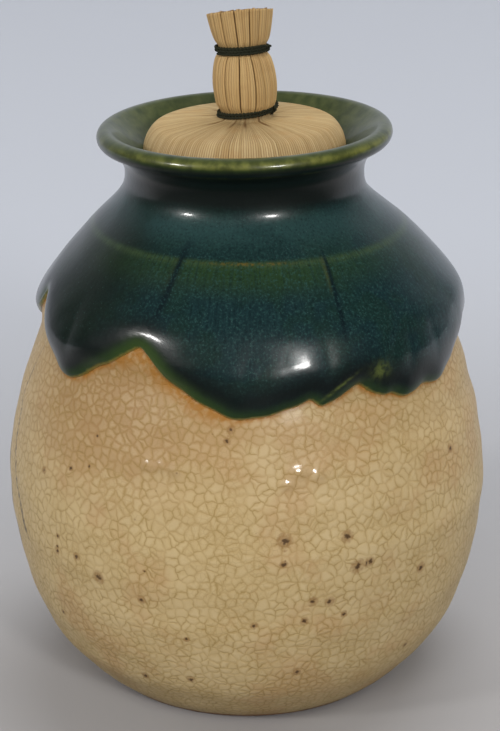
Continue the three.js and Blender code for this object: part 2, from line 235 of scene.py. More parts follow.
# %% Shared group: place in millimetres
def build_place_group():
    """Object coordinates in millimetres, and the azimuth round the bottle in degrees."""
    outputs = {"Place": "Vector", "Azimuth": "Float", "Height": "Float"}
    recipe, _, leave = new_group("Place", {}, outputs)
    coordinates = recipe.node("TexCoord", output="Object")
    place = recipe.vector("MULTIPLY", coordinates, (1 / MM,) * 3)
    x, y, z = recipe.node("SeparateXYZ", place, output=(0, 1, 2))
    turned = recipe.math("ARCTAN2", x, y * -1.0)
    recipe.feed(leave["Place"], place)
    recipe.feed(leave["Azimuth"], recipe.math("DEGREES", turned))
    recipe.feed(leave["Height"], z)


# %% Shared group: mottling
def build_mottle_group():
    """Blotches of two sizes, from 0 to 1 around a half."""
    inputs = {"Place": (0.0, 0.0, 0.0), "Size": 5.0, "Contrast": 1.0}
    recipe, (place, size, contrast), leave = new_group("Mottle", inputs, {"Value": "Float"})
    shrunk = recipe.vector("SCALE", place, Scale=1.0 / size)
    soft = recipe.noise(shrunk, 1.0, detail=3.0, roughness=0.55)
    swing = (soft - 0.5) * (contrast * 2.0)
    recipe.feed(leave["Value"], recipe.math("ADD", swing, 0.5, use_clamp=True))


# %% Shared group: streaks
def build_streak_group():
    """Fine streaks that run along Up, from 0 to 1."""
    inputs = {"Across": 0.0, "Up": 0.0, "Width": 0.4, "Length": 6.0}
    recipe, (across, up, width, length), leave = new_group("Streaks", inputs, {"Value": "Float"})
    place = recipe.node("CombineXYZ", across / width, up / length)
    recipe.feed(leave["Value"], recipe.noise(place, 1.0, detail=2.5, roughness=0.6))


# %% Shared group: flecks
def build_fleck_group():
    """Small round flecks with soft rims, 1 inside a fleck."""
    inputs = {"Place": (0.0, 0.0, 0.0), "Spacing": 2.0, "Size": 0.2, "Amount": 0.5}
    recipe, (place, spacing, size, amount), leave = new_group("Flecks", inputs, {"Mask": "Float"})
    distance, tint = recipe.node(
        "TexVoronoi", Vector=place, Scale=1.0 / spacing, output=("Distance", "Color")
    )
    large, chance = recipe.node("SeparateColor", tint, output=(0, 1))
    radius = size * large.fade(0.0, 1.0, 0.4, 1.6)
    disc = (distance * spacing / radius).fade(0.5, 1.1, 1.0, 0.0)
    recipe.feed(leave["Mask"], disc * recipe.math("LESS_THAN", chance, amount))


# %% Shared group: crackle
def build_crackle_group():
    """Net of fine cracks: the line, a tone for each cell, and the cell's doming."""
    recipe, (around, up, cell, line, wander), leave = new_group(
        "Crackle",
        {"Around": 0.0, "Up": 0.0, "Cell": 1.5, "Line": 0.12, "Wander": 0.35},
        {"Line": "Float", "Tone": "Float", "Dome": "Float"},
    )
    place = recipe.node("CombineXYZ", around / cell, up / cell)
    warp = recipe.node("TexNoise", Vector=place, Scale=1.1, Detail=3.0, output="Color")
    bend = recipe.vector("SCALE", recipe.vector("SUBTRACT", warp, (0.5, 0.5, 0.5)), Scale=wander)
    bent = recipe.vector("ADD", place, bend)
    cells = {"Vector": bent, "Scale": 1.0, "voronoi_dimensions": "2D"}
    edge = recipe.node("TexVoronoi", feature="DISTANCE_TO_EDGE", output="Distance", **cells)
    tint = recipe.node("TexVoronoi", output="Color", **cells)
    away = edge * cell
    recipe.feed(leave["Line"], (away / line).fade(0.15, 1.0, 1.0, 0.0))
    recipe.feed(leave["Tone"], recipe.node("SeparateColor", tint))
    recipe.feed(leave["Dome"], (away / cell).fade(0.0, 0.32))


build_place_group()
for build in (build_mottle_group, build_streak_group, build_fleck_group, build_crackle_group):
    build()
print("shared groups:", ", ".join(group.name for group in bpy.data.node_groups))

# %% [markdown]
# The shape of the thrown wall
#
# A thrown pot could be a lathe profile with a Screw modifier. Here the wall is a grid of points
# instead, because its rows have to follow the wavy edge of the poured glaze, and because hand
# work leaves soft dents and rings that a turned profile can't have.

# %% Outline of the clay
# heights and radii in millimetres
FOOT_RADIUS = 23.2
FOOT = (0.0, FOOT_RADIUS)
BELLY = (34.0, 38.35)
WAIST = (58.5, 32.7)
SHOULDER = (62.5, 32.45)
NECK = (82.9, 18.05)
LIP_HEIGHT = 90.55
GLAZE = 0.5
WALL = 3.5


def between(first, second, share):
    return first + (second - first) * share


def part_way(low, high, height_share, radius_share):
    return (between(low[0], high[0], height_share), between(low[1], high[1], radius_share))


OUTLINE = np.array([
    FOOT,
    part_way(FOOT, BELLY, 0.12, 0.31),
    part_way(FOOT, BELLY, 0.33, 0.67),
    part_way(FOOT, BELLY, 0.64, 0.91),
    BELLY,
    part_way(BELLY, WAIST, 0.42, 0.24),
    part_way(BELLY, WAIST, 0.74, 0.62),
    WAIST,
    SHOULDER,
    part_way(SHOULDER, NECK, 0.22, 0.1),
    part_way(SHOULDER, NECK, 0.557, 0.507),
    part_way(SHOULDER, NECK, 0.845, 0.93),
    NECK,
])


def hermite(knots, values, slopes, at):
    """A smooth curve through the knots, with the given slopes there."""
    k = np.clip(np.searchsorted(knots, at) - 1, 0, len(knots) - 2)
    span = knots[k + 1] - knots[k]
    t = (at - knots[k]) / span
    eased = t * t * (3 - 2 * t)
    bend = t * (1 - t) * span * ((1 - t) * slopes[k] - t * slopes[k + 1])
    return between(values[k], values[k + 1], eased) + bend


def outline_slopes():
    """Slopes between the knots on both sides; upright at the belly and in the neck."""
    at = np.arange(len(OUTLINE))
    before = OUTLINE[np.maximum(at - 1, 0)]
    after = OUTLINE[np.minimum(at + 1, at[-1])]
    slopes = (after[:, 1] - before[:, 1]) / (after[:, 0] - before[:, 0])
    slopes[OUTLINE[:, 1] == BELLY[1]] = 0
    slopes[-1] = 0
    return slopes


SLOPES = outline_slopes()


def clay_radius(height):
    return hermite(OUTLINE[:, 0], OUTLINE[:, 1], SLOPES, np.asarray(height, float))


print("radius at the belly in mm:", round(float(clay_radius(BELLY[0])), 2))

# %% [markdown]
# The poured glaze ends in lobes
#
# The green glaze ran down the shoulder in heavy lobes that hang over the waist, parted by sharp
# notches. Each lobe is described by its tip and by the notch that follows it.

# %% Edge of the glaze
LOWEST_TIP = 3.5
SWING = 9.0
# azimuth and height of the tip, azimuth and height of the notch, roundness before and after
GLAZE_RUNS = [
    (-52, 0.16, -29.8, 1.02, 1.8, 1.15), (0.7, 0.0, 15.9, 0.27, 1.8, 1.45),
    (18.2, 0.08, 29.8, 0.4, 0.8, 1.0), (36.8, 0.09, 39.4, 0.14, 1.5, 1.5),
    (44.5, 0.0, 50.3, 0.08, 1.6, 1.4), (54.5, 0.02, 82, 0.6, 1.5, 1.5),
    (109, 0.0, 138, 0.72, 1.8, 1.6), (166, 0.11, 191, 0.78, 1.6, 1.8),
    (219, 0.0, 247, 0.61, 1.9, 1.5), (263, 0.39, 283, 1.2, 1.7, 1.7),
]


def glaze_edge(azimuth):
    """Height of the glaze's edge at azimuths in degrees."""
    height = np.zeros_like(azimuth)
    for k, (tip_at, tip, notch_at, notch, before, after) in enumerate(GLAZE_RUNS):
        start, start_height = GLAZE_RUNS[k - 1][2:4]
        along, reach, width = [(angle - start) % 360 for angle in (azimuth, tip_at, notch_at)]
        here = along <= width
        rising = along > reach
        share = np.where(rising, (along - reach) / (width - reach), (reach - along) / reach)
        far = np.where(rising, notch, start_height)
        swing = between(tip, far, np.clip(share, 0, 1) ** np.where(rising, after, before))
        height[here] = (WAIST[0] - LOWEST_TIP + SWING * swing)[here]
    return height


def smoothed(values, columns):
    """An even mean over some columns on each side, round the bottle."""
    shifts = range(-columns, columns + 1)
    return sum(np.roll(values, shift) for shift in shifts) / len(shifts)


BEAD_HEIGHT = (1.1, 0.85)
BEAD_WIDTH = (2.5, 1.3)
BEAD_SETTLES = 4.3


def glaze_relief(distance, tipness):
    """How far the green glaze stands over the clay: a film that ends in a thick rolled bead."""
    over = np.maximum(distance, 0)
    bead = BEAD_HEIGHT[0] + BEAD_HEIGHT[1] * tipness
    width = BEAD_WIDTH[0] + BEAD_WIDTH[1] * tipness
    roll = np.sqrt(1 - (1 - np.clip(over / width, 0, 1)) ** 2)
    settled = np.exp(-((np.maximum(over - width, 0) / BEAD_SETTLES) ** 2))
    return roll * between(GLAZE, bead, settled)


print("lobes and notches of the glaze:", len(GLAZE_RUNS))

# %% [markdown]
# The body as one grid of points
#
# Each row of the grid is a ring of points. Rows near the glaze follow its edge, a fraction of a
# millimetre apart, so that the bead is real geometry. Facts that the finish needs, such as how
# far a point is from the glaze's edge, are stored on the points as attributes.

# %% Rings of the body
COLUMNS = 440
AZIMUTH = np.arange(COLUMNS) / COLUMNS * 2 * math.pi
EDGE = smoothed(glaze_edge(np.degrees(AZIMUTH)), 1)
TIPNESS = smoothed(np.clip(1 - (EDGE - WAIST[0] + LOWEST_TIP) / 6, 0, 1), 6)
EDGE = EDGE + 0.12 * np.sin(23 * AZIMUTH) + 0.1 * np.sin(41 * AZIMUTH + 1)
DROP_ZONE = (44.0, 50.0)
SHOULDER_TOP = between(SHOULDER[0], NECK[0], 0.4)
# rows on both sides of the glaze's edge, in millimetres up from it
EDGE_ROWS = [
    -1.2, -0.75, -0.4, -0.15, 0, 0.02, 0.06, 0.12, 0.2,
    0.31, 0.45, 0.62, 0.82, 1.05, 1.35, 1.7, 2.15, 2.7,
]
# azimuth, height, and half width along both, of small glassy drops in the cream glaze
DROPS = [
    (-23.6, 47.4, 1.6, 0.9), (-20.2, 47.6, 1.5, 0.9), (-16.9, 47.3, 1.6, 0.9),
    (12.0, 47.2, 2.4, 0.9), (16.4, 46.7, 1.7, 0.9), (9.0, 45.6, 2.0, 0.8),
]
DROP_RELIEF = 0.27


def turn_between(first, second):
    """The shorter way round from one azimuth to another, in radians."""
    return (first - second + math.pi) % (2 * math.pi) - math.pi


def glassy_drops(azimuth, height):
    """1 in the middle of each drop, falling smoothly to 0 round it."""
    field = np.zeros(height.shape)
    for drop_azimuth, drop_height, wide, tall in DROPS:
        across = np.degrees(turn_between(azimuth, math.radians(drop_azimuth))) / wide
        up = (height - drop_height) / tall
        field = np.maximum(field, np.exp(-(across ** 2) - up ** 2))
    return field


def unevenness(azimuth, height):
    """Throwing rings, soft dents and glassy drops, in millimetres."""
    rings = 0.05 * np.sin(height / 1.05 + azimuth) + 0.05 * np.sin(height / 1.7 - azimuth + 2)
    dents = 0.1 * np.sin(2 * azimuth + height / 17) + 0.07 * np.sin(5 * azimuth - height / 9 + 1)
    dimples = 0.035 * np.sin(13 * azimuth + height / 3.1) * np.sin(height / 2.3 + 3 * azimuth)
    settled = np.clip(height / 6, 0, 1) * np.clip((NECK[0] - height) / 8, 0, 1)
    return (rings + dents + dimples) * settled + DROP_RELIEF * glassy_drops(azimuth, height)


def steps_up(heights, radii):
    return np.hypot(np.diff(heights, axis=0), np.diff(radii, axis=0))


def summed_up(steps):
    """Running sums up the wall, from 0 at the first row."""
    return np.vstack([np.zeros((1, COLUMNS)), np.cumsum(steps, axis=0)])


def distance_from_edge(heights, radii):
    """Distance of each point from the glaze's edge along the wall, more than 0 in the green."""
    length = summed_up(steps_up(heights, radii))
    edge = np.array([np.interp(EDGE[i], heights[:, i], length[:, i]) for i in range(COLUMNS)])
    turn = turn_between(AZIMUTH[None, :], AZIMUTH[:, None])
    distance = np.empty_like(heights)
    for row in range(len(heights)):
        up = length[row][:, None] - edge[None, :]
        near = np.hypot(turn * radii[row][:, None], up).min(axis=1)
        distance[row] = np.sign(length[row] - edge) * near
    return distance


def outer_rings():
    """Heights and radii of the rows from the foot to the neck, and their way to the edge."""
    flat = np.ones(COLUMNS)
    rows = [height * flat for height in np.linspace(0.6, DROP_ZONE[0], 38, endpoint=False)]
    rows += [height * flat for height in np.linspace(*DROP_ZONE, 20, endpoint=False)]
    rows += [between(DROP_ZONE[1], EDGE - 1.6, share) for share in np.linspace(0, 1, 11)]
    rows += [EDGE + step for step in EDGE_ROWS]
    rows += [between(EDGE + 3.4, SHOULDER_TOP, share) for share in np.linspace(0, 1, 14)]
    rows += [height * flat for height in np.linspace(SHOULDER_TOP, NECK[0], 18)[1:]]
    heights = np.array(rows)
    radii = clay_radius(heights)
    distance = distance_from_edge(heights, radii)
    radii = radii + glaze_relief(distance, TIPNESS) + unevenness(AZIMUTH, heights)
    return heights, radii, distance


print("height of the glaze's edge in mm:", EDGE.min().round(1), "to", EDGE.max().round(1))

# %% Rings of the lip, the inside and the foot
ROLL = 1.45
UNDERSIDE_TURN = math.radians(66)
MOUTH_TURN = math.radians(50)
GLAZED_NECK = NECK[1] + GLAZE
ROLL_CENTRE = np.array([22.8 - ROLL, LIP_HEIGHT - ROLL])
THROAT = (81.5, 14.7)
# radii and heights
FOOT_PROFILE = [
    [6, 1.3], [17, 1.25], [18.3, 1.1], [18.9, 0.35],
    [19.3, 0.05], [19.8, 0.0], [22.4, 0.0], [22.9, 0.15],
]


def on_roll(angle):
    return ROLL_CENTRE + ROLL * np.array([math.cos(angle), math.sin(angle)])


def flare(radius, height, angle, turn, count):
    """Points of the curve from an upright wall into the rolled lip."""
    end = on_roll(angle)
    along = (end[0] - radius) / math.sin(turn)
    bend = np.array([radius, end[1] - along * math.cos(turn)])
    start = np.array([radius, height])
    return [
        start * (1 - t) ** 2 + bend * 2 * t * (1 - t) + end * t * t
        for t in np.linspace(0, 1, count)
    ]


def inner_wall(height):
    slope = (clay_radius(height + 0.1) - clay_radius(height - 0.1)) / 0.2
    length = math.hypot(1, slope)
    return [clay_radius(height) - WALL / length, height + WALL * slope / length]


def lip_profile():
    mouth = math.pi - MOUTH_TURN
    outer = flare(GLAZED_NECK, NECK[0] + 0.5, -UNDERSIDE_TURN, UNDERSIDE_TURN, 13)
    roll = [on_roll(angle) for angle in np.linspace(-UNDERSIDE_TURN, mouth, 20)[1:-1]]
    return outer + roll + flare(THROAT[1], THROAT[0], mouth, MOUTH_TURN, 14)[::-1]


def inside_profile():
    neck = [inner_wall(height) for height in np.linspace(NECK[0] - 4, SHOULDER[0] + 3, 8)]
    belly = [inner_wall(height) for height in np.linspace(WAIST[0], 8, 14)]
    floor = [[FOOT_RADIUS - 1.8, 6.5], [FOOT_RADIUS - 4, 5.7], [FOOT_RADIUS - 8, 5.5], [6, 5.4]]
    return neck + belly + floor


def rings_from(profile):
    profile = np.array(profile)
    flat = np.ones(COLUMNS)
    return profile[:, 1:2] * flat, profile[:, :1] * flat


def body_rings():
    """All rings from the foot's middle over the lip to the floor, with their way to the edge."""
    foot, lip, inside = [
        rings_from(profile) for profile in (FOOT_PROFILE, lip_profile(), inside_profile())
    ]
    inner_edge = 71 + 2.5 * np.sin(3 * AZIMUTH) + 1.2 * np.sin(7 * AZIMUTH + 2)
    parts = [
        (*foot, foot[0] - EDGE),
        outer_rings(),
        (*lip, lip[0] - EDGE),
        (*inside, inside[0] - inner_edge),
    ]
    print("rings of foot, wall, lip and inside:", [len(part[0]) for part in parts])
    heights, radii, distance = [np.vstack(fields) for fields in zip(*parts)]
    row_of_lip = np.arange(len(heights))[:, None] - len(foot[0]) - len(parts[1][0])
    inner = np.clip((row_of_lip - 19) / 8, 0, 1) * np.ones(COLUMNS)
    return heights, radii, distance, inner


HEIGHTS, RADII, DISTANCE, INSIDE = body_rings()

# %% Stain beside the glaze
# azimuth, width and strength of the places where the amber stain reaches far
STAINS = [
    (-26, 7, 1.5), (-33, 5, 0.9), (-12, 8, 1.7), (-74, 7, 1.2),
    (-47, 5, 0.35), (29, 6, 0.35), (96, 12, 1.1), (203, 14, 1.3),
]


def stain_field():
    """1 at the green glaze's edge, falling to 0 over the cream beside it."""
    width = np.full(COLUMNS, 0.45)
    for azimuth, spread, reach in STAINS:
        away = np.degrees(turn_between(AZIMUTH, math.radians(azimuth)))
        width += reach * np.exp(-((away / spread) ** 2))
    return np.exp(-((np.abs(np.minimum(DISTANCE, 0)) / width) ** 3)) * (DISTANCE > -6)


# the way up the wall in units of its radius, so that a pattern round it isn't squeezed
EVEN = summed_up(steps_up(HEIGHTS, RADII) / ((RADII[1:] + RADII[:-1]) / 2))
CRACKLE_RADIUS = 34.0
print("distance from the edge in mm:", DISTANCE.min().round(1), "to", DISTANCE.max().round(1))

# %% [markdown]
# Marks in the glaze
#
# Iron in the clay burnt through the cream glaze as dark specks, each where it happened to lie.
# A point stores the way to its nearest speck, and the shader draws a ragged spot from that. The
# brushed blades of grass on the bottle's side are stored as the distance from their strokes.

# %% Specks
# azimuth, height and size of each iron speck
SPECKS = [
    (-45.5, 43.9, 0.3), (-55.4, 41.6, 0.35), (-39.7, 45.2, 0.2), (-38.5, 49.9, 0.2),
    (-48.8, 32.3, 0.3), (-49.2, 29.8, 0.35), (-42.4, 30.4, 0.4), (-35.9, 28.2, 0.6),
    (-23.3, 31.3, 0.2), (-24.6, 26.2, 0.4), (-14.3, 20.2, 0.3), (-28.4, 10.5, 0.4),
    (-14.9, 11.7, 0.4), (-3.9, 53.6, 0.35), (-4.8, 51.9, 0.3), (8.3, 37.3, 0.65),
    (8.0, 33.7, 0.35), (22.8, 36.9, 0.55), (25.3, 31.8, 0.65), (28.4, 32.2, 0.45),
    (43.8, 28.2, 0.5), (14.9, 27.0, 0.45), (18.9, 26.6, 0.45), (22.8, 23.9, 0.35),
    (13.2, 23.7, 0.4), (1.6, 23.3, 0.35), (57.1, 44.7, 0.4), (12.6, 13.8, 0.4),
    (20.0, 41.1, 0.2), (45.5, 13.3, 0.3), (-52.8, 17.8, 0.3), (96, 30, 0.5),
    (118, 44, 0.35), (131, 22, 0.45), (152, 37, 0.6), (171, 28, 0.4), (196, 47, 0.35),
    (207, 19, 0.5), (228, 33, 0.45), (241, 25, 0.35), (-83, 64.8, 0.8), (-84, 61.6, 0.5),
]
FAR = 50.0


def speck_offsets():
    """The way from each point to its nearest speck, in speck sizes, and its length."""
    best = np.full(HEIGHTS.shape, 1e9)
    offset = np.zeros((*HEIGHTS.shape, 3))
    for azimuth, height, size in SPECKS:
        across = turn_between(AZIMUTH[None, :], math.radians(azimuth)) * RADII / size
        up = (HEIGHTS - height) / size
        away = np.hypot(across, up)
        nearer = away < best
        best[nearer] = away[nearer]
        offset[nearer, 0] = across[nearer]
        offset[nearer, 1] = up[nearer]
    offset[..., 2] = best
    return np.clip(offset, -FAR, FAR)


print("specks:", len(SPECKS))

# %% Brush strokes
# azimuth and height along each blade, with the half width at its thickest
BLADES = [
    ([(-63, 26.5), (-68.5, 32), (-75, 41), (-77, 50), (-73, 57), (-69, 60.5)], 0.8),
    ([(-84, 18), (-90, 30), (-98, 38), (-113, 41)], 1.1),
    ([(-76, 19), (-80, 31), (-86, 44), (-96, 53)], 1.2),
    ([(-88, 17), (-97, 24), (-108, 28), (-119, 27)], 0.8),
]


def brush_field():
    """How far each point is inside a stroke, in millimetres."""
    field = np.full(HEIGHTS.shape, -20.0)
    shares = np.linspace(0, 1, 60)
    for points, width in BLADES:
        path = []
        for values in zip(*[(math.radians(azimuth), height) for azimuth, height in points]):
            line = np.interp(shares, np.linspace(0, 1, len(points)), values)
            line[4:-4] = np.convolve(line, np.ones(9) / 9, "valid")
            path.append(line)
        widths = width * np.clip(shares / 0.1, 0, 1) ** 0.5 * (1 - shares) ** 0.55
        for azimuth, height, half in zip(*path, widths):
            away = np.hypot(turn_between(AZIMUTH[None, :], azimuth) * RADII, HEIGHTS - height)
            field = np.maximum(field, half - away)
    return field


print("brushed blades:", len(BLADES))

# %% Meshes from rings of points
LIP_TILT = math.tan(math.radians(1.3))


def hand_made(points, shoulder_shift=0.7, lip_shift=-0.4):
    """Thrown by hand: the shoulder stands off to the right, the lip to the left and aslant."""
    x, z = points[..., 0].copy(), points[..., 2].copy()
    lip = np.clip((z - 80) / 8, 0, 1)
    neck = np.clip((z - 75) / 5, 0, 1)
    points[..., 0] += shoulder_shift * np.exp(-(((z - 68) / 7) ** 2)) + lip_shift * neck
    points[..., 2] += LIP_TILT * x * lip
    return points


def round_axis(azimuth, radius, height):
    """Points round the upright axis; azimuth 0 is the front, and it grows to the right."""
    return np.stack([radius * np.sin(azimuth), -radius * np.cos(azimuth), height], axis=-1)


def closed_tube(rings, first, last):
    """Points and faces of closed rings, with a fan round a point at each end."""
    rows, columns = rings.shape[:2]
    count = rows * columns
    index = np.arange(count).reshape(rows, columns)
    right = np.roll(index, -1, axis=1)
    quads = np.stack([index[:-1], right[:-1], right[1:], index[1:]], axis=-1)
    faces = quads.reshape(-1, 4).tolist()
    for ring, centre in ((index[0, ::-1].tolist(), count), (index[-1].tolist(), count + 1)):
        faces += [[centre, ring[i], ring[i - columns + 1]] for i in range(columns)]
    return np.vstack([rings.reshape(-1, 3), [first], [last]]), faces


def new_piece(name, points, faces, material):
    """A smooth mesh object from points in millimetres."""
    mesh = bpy.data.meshes.new(name)
    mesh.from_pydata((np.asarray(points) * MM).tolist(), [], faces)
    mesh.polygons.foreach_set("use_smooth", np.ones(len(mesh.polygons), bool))
    mesh.materials.append(material)
    made = bpy.data.objects.new(name, mesh)
    bpy.context.scene.collection.objects.link(made)
    return made


def with_ends(values, first=0):
    """Values on rings, and on the two points that close their ends."""
    flat = values.ravel()
    return np.append(flat, [flat[first], flat[-1]])


def store(piece, name, values):
    """Keeps a number, or three, on every point of a piece for its material."""
    values = np.asarray(values, np.float32)
    kind, field = ("FLOAT_VECTOR", "vector") if values.ndim == 2 else ("FLOAT", "value")
    layer = piece.data.attributes.new(name, kind, "POINT")
    layer.data.foreach_set(field, values.ravel())


# %% Build the body
def build_body(material):
    rings = hand_made(round_axis(AZIMUTH, RADII, HEIGHTS))
    points, faces = closed_tube(rings, [0, 0, HEIGHTS[0, 0]], [0, 0, HEIGHTS[-1, 0]])
    body = new_piece("bottle", points, faces, material)
    outside = (INSIDE == 0) * (RADII > 32)
    fields = {
        "edge_distance": DISTANCE,
        "even_height": EVEN * CRACKLE_RADIUS,
        "stain": stain_field(),
        "inside": INSIDE,
        "drop": glassy_drops(AZIMUTH, HEIGHTS) * outside,
        "brush": brush_field(),
    }
    for name, field in fields.items():
        store(body, name, with_ends(field, -1))
    store(body, "speck", np.vstack([speck_offsets().reshape(-1, 3), np.full((2, 3), FAR)]))
    print("facts on each point:", ", ".join(fields))
    return body


# %% [markdown]
# The glazes
#
# Both glazes are glass over stoneware, so one shader holds them: a base layer for the soft broad
# shine and a clear coat for the sharp lights. What changes over the surface is fed by masks: the
# crackled cream, the amber stain beside the green, the green itself that thins to yellow at its
# edge, the bare clay of the foot.


# %% Cream glaze
def cream_colour(recipe, wall):
    """The crackled cream glaze: its colour and its relief in millimetres."""
    place, azimuth, height = wall
    around = azimuth * (CRACKLE_RADIUS * math.pi / 180)
    net = {"Around": around, "Up": recipe.attribute("even_height")}
    spread = recipe.group("Mottle", Place=place, Size=13.0, Contrast=1.3)
    tone = recipe.group("Mottle", Place=place, Size=6.0, Contrast=1.2)
    line, shade, dome = recipe.group(
        "Crackle", ("Line", "Tone", "Dome"), Cell=1.35, Line=0.1, Wander=0.8, **net
    )
    small = recipe.group("Crackle", "Line", Cell=0.85, Line=0.07, Wander=0.6, **net)
    strength = recipe.noise(place, 2.0, detail=3.0).fade(0.3, 0.68, 0.15, 1.0)
    faint = small * tone.fade(0.35, 0.8, 0.0, 0.5)
    cracks = recipe.math("MAXIMUM", line * strength, faint)
    # the upper left of the belly is painted darker and warmer
    left = azimuth.bell(-40.0, 30.0).fade(0.0, 1.0, 0.35, 1.0)
    colour = recipe.paint(
        recipe.mix(tone, srgb(192, 169, 124), srgb(181, 156, 108)),
        (spread.fade(0.45, 0.85, 0.0, 0.7), srgb(177, 143, 98)),
        (left * height.fade(34.0, 56.0) * 0.95, srgb(152, 117, 72)),
        (dome * shade.fade(0.0, 1.0, 0.12, 0.28), srgb(209, 190, 150)),
        ((1.0 - dome) * (strength * 0.3), srgb(164, 138, 82)),
        (cracks * 0.58, srgb(140, 114, 58)),
    )
    return colour, dome * 0.03 + cracks * -0.012


# %% Marks on the cream
def add_marks(recipe, wall, colour):
    """Iron specks, pinholes and the brushed blades, over the cream."""
    place = wall[0]
    offset = recipe.attribute("speck", output=1)
    ragged = recipe.noise(place, 0.45, detail=3.0)
    flat = recipe.vector("MULTIPLY", offset, (1.0, 1.0, 0.0))
    away = recipe.vector("LENGTH", flat, output="Value")
    # half way between two specks the stored way passes through zero, but its length doesn't
    stored = recipe.node("SeparateXYZ", offset, output=2)
    away = away + stored.fade(2.1, 2.7, 0.0, 3.0) + (ragged - 0.5) * 2.6
    pinholes = recipe.group("Flecks", "Mask", Place=place, Spacing=3.2, Size=0.13, Amount=0.35)
    stroke = recipe.attribute("brush") + (ragged - 0.5) * 0.5
    return recipe.paint(
        colour,
        (away.fade(0.9, 2.6, 0.6, 0.0), srgb(134, 98, 54)),
        (away.fade(0.35, 1.0, 0.8, 0.0), srgb(52, 27, 6)),
        (pinholes * 0.5, srgb(104, 74, 42)),
        (stroke.fade(0.0, 0.4) * ragged.fade(0.3, 0.6, 0.45, 0.85), srgb(74, 66, 62)),
    )


# %% Runs in the green glaze
# azimuth and height of its upper end, degrees to the left for each millimetre down, width in
# degrees, and the height of its lower end
POUR_MARKS = [(-23.2, 77.5, 0.27, 1.3, 68.8), (28.2, 75.6, 0.23, 0.8, 66.4)]


def pour_marks(recipe, wall, shift=0.0):
    """Dark runs where two pours of glaze met."""
    _, azimuth, height = wall
    marks = []
    for start, top, slope, width, bottom in POUR_MARKS:
        middle = (start + shift) - (top - height) * slope
        mark = (azimuth - middle).bell(0.0, width)
        mark = mark * height.fade(bottom - 2.5, bottom + 1.5)
        marks.append(mark * height.fade(top - 0.5, top + 1.5, 1.0, 0.0))
    return recipe.math("MAXIMUM", *marks)


def thin_places(recipe, wall):
    """Where the small lobes at the right overlap, the glaze is thin along a fold and in a spot."""
    place, azimuth, height = wall
    ragged = recipe.noise(place, 0.9, detail=3.0).fade(0.35, 0.6, 0.2, 0.8)
    fold = (height - azimuth * 0.36).bell(50.6, 0.35) * azimuth.bell(23.0, 4.0)
    spot = height.bell(60.4, 1.2) * azimuth.bell(35.0, 2.4)
    return (fold + spot) * ragged


# %% Green glaze
def green_colour(recipe, wall, over_edge):
    """The poured glaze: deep blue green where thick, yellow green where it thins."""
    place, azimuth, height = wall
    from_back = recipe.math("ABSOLUTE", azimuth).fade(176.0, 180.0, 1.0, 0.0)
    around = from_back * (azimuth * 0.55)
    streaks = recipe.group("Streaks", Across=around, Up=height, Width=0.28, Length=4.5)
    fine = recipe.noise(place, 0.4, detail=3.0, roughness=0.75)
    clouds = recipe.group("Mottle", Place=place, Size=7.0, Contrast=1.4)
    dust = recipe.group("Flecks", "Mask", Place=place, Spacing=0.55, Size=0.07, Amount=0.6)
    left = azimuth.bell(-72.0, 44.0).fade(0.25, 0.8)
    band = height.fade(70.2, 74.6) * height.fade(75.3, 75.9, 1.0, 0.12)
    band = band * azimuth.bell(0.0, 52.0) * streaks.fade(0.2, 0.75, 0.45, 1.0)
    rim = height.bell(75.2, 0.4) * streaks.fade(0.3, 0.7, 0.2, 0.75)
    line = height.bell(75.35, 0.16) * azimuth.bell(1.0, 12.0)
    line = line * recipe.noise(place, 0.55).fade(0.4, 0.6, 0.1, 1.0)
    fringe = pour_marks(recipe, wall, -1.0) * band * azimuth.fade(10.0, 20.0, 0.15, 0.6)
    lively = left.fade(0.0, 1.0, 0.7, 0.15)
    sloping = azimuth.bell(-23.0, 15.0)
    return recipe.paint(
        recipe.mix(streaks.fade(0.3, 0.75), srgb(14, 34, 37), srgb(22, 46, 48)),
        (clouds.fade(0.4, 0.85, 0.0, 0.55), srgb(18, 40, 30)),
        (left * 0.9, srgb(15, 25, 17)),
        (band, srgb(38, 60, 28)),
        (rim, srgb(58, 76, 44)),
        (line * 0.75, srgb(112, 88, 26)),
        (fringe, srgb(84, 80, 32)),
        (pour_marks(recipe, wall) * 0.9, srgb(8, 22, 27)),
        # a paler band round the upper shoulder: partly thinner glaze, partly painted sheen for the
        # soft glow round the neck's highlights
        (height.bell(79.2, 2.4) * clouds.fade(0.2, 0.7, 0.45, 0.85), srgb(40, 66, 66)),
        (dust * 0.4, srgb(74, 104, 100)),
        (fine.fade(0.5, 0.7) * lively, srgb(42, 74, 70)),
        (fine.fade(0.3, 0.48, 0.55, 0.0), srgb(7, 20, 20)),
        # darker up the neck and over the lip's underside: painted shade under the lip's overhang,
        # with the glaze pooled darker there
        (height.fade(80.0, 83.0, 0.0, 0.95), srgb(7, 15, 12)),
        # a darker band over the lobes' beads: partly thick pooled glaze, partly painted shade
        (over_edge.bell(2.6, 2.4) * height.fade(68.0, 70.0, 0.9, 0.0), srgb(6, 15, 14)),
        (over_edge.fade(0.3, 2.2, 0.9, 0.0), srgb(34, 56, 24)),
        (over_edge.fade(0.4, 3.2, 0.75, 0.0) * sloping, srgb(56, 78, 27)),
        (thin_places(recipe, wall), srgb(92, 104, 46)),
        (over_edge.fade(-0.05, 0.6, 1.0, 0.0), srgb(126, 122, 56)),
    )


# %% Lip
LIP_RISE = 0.48


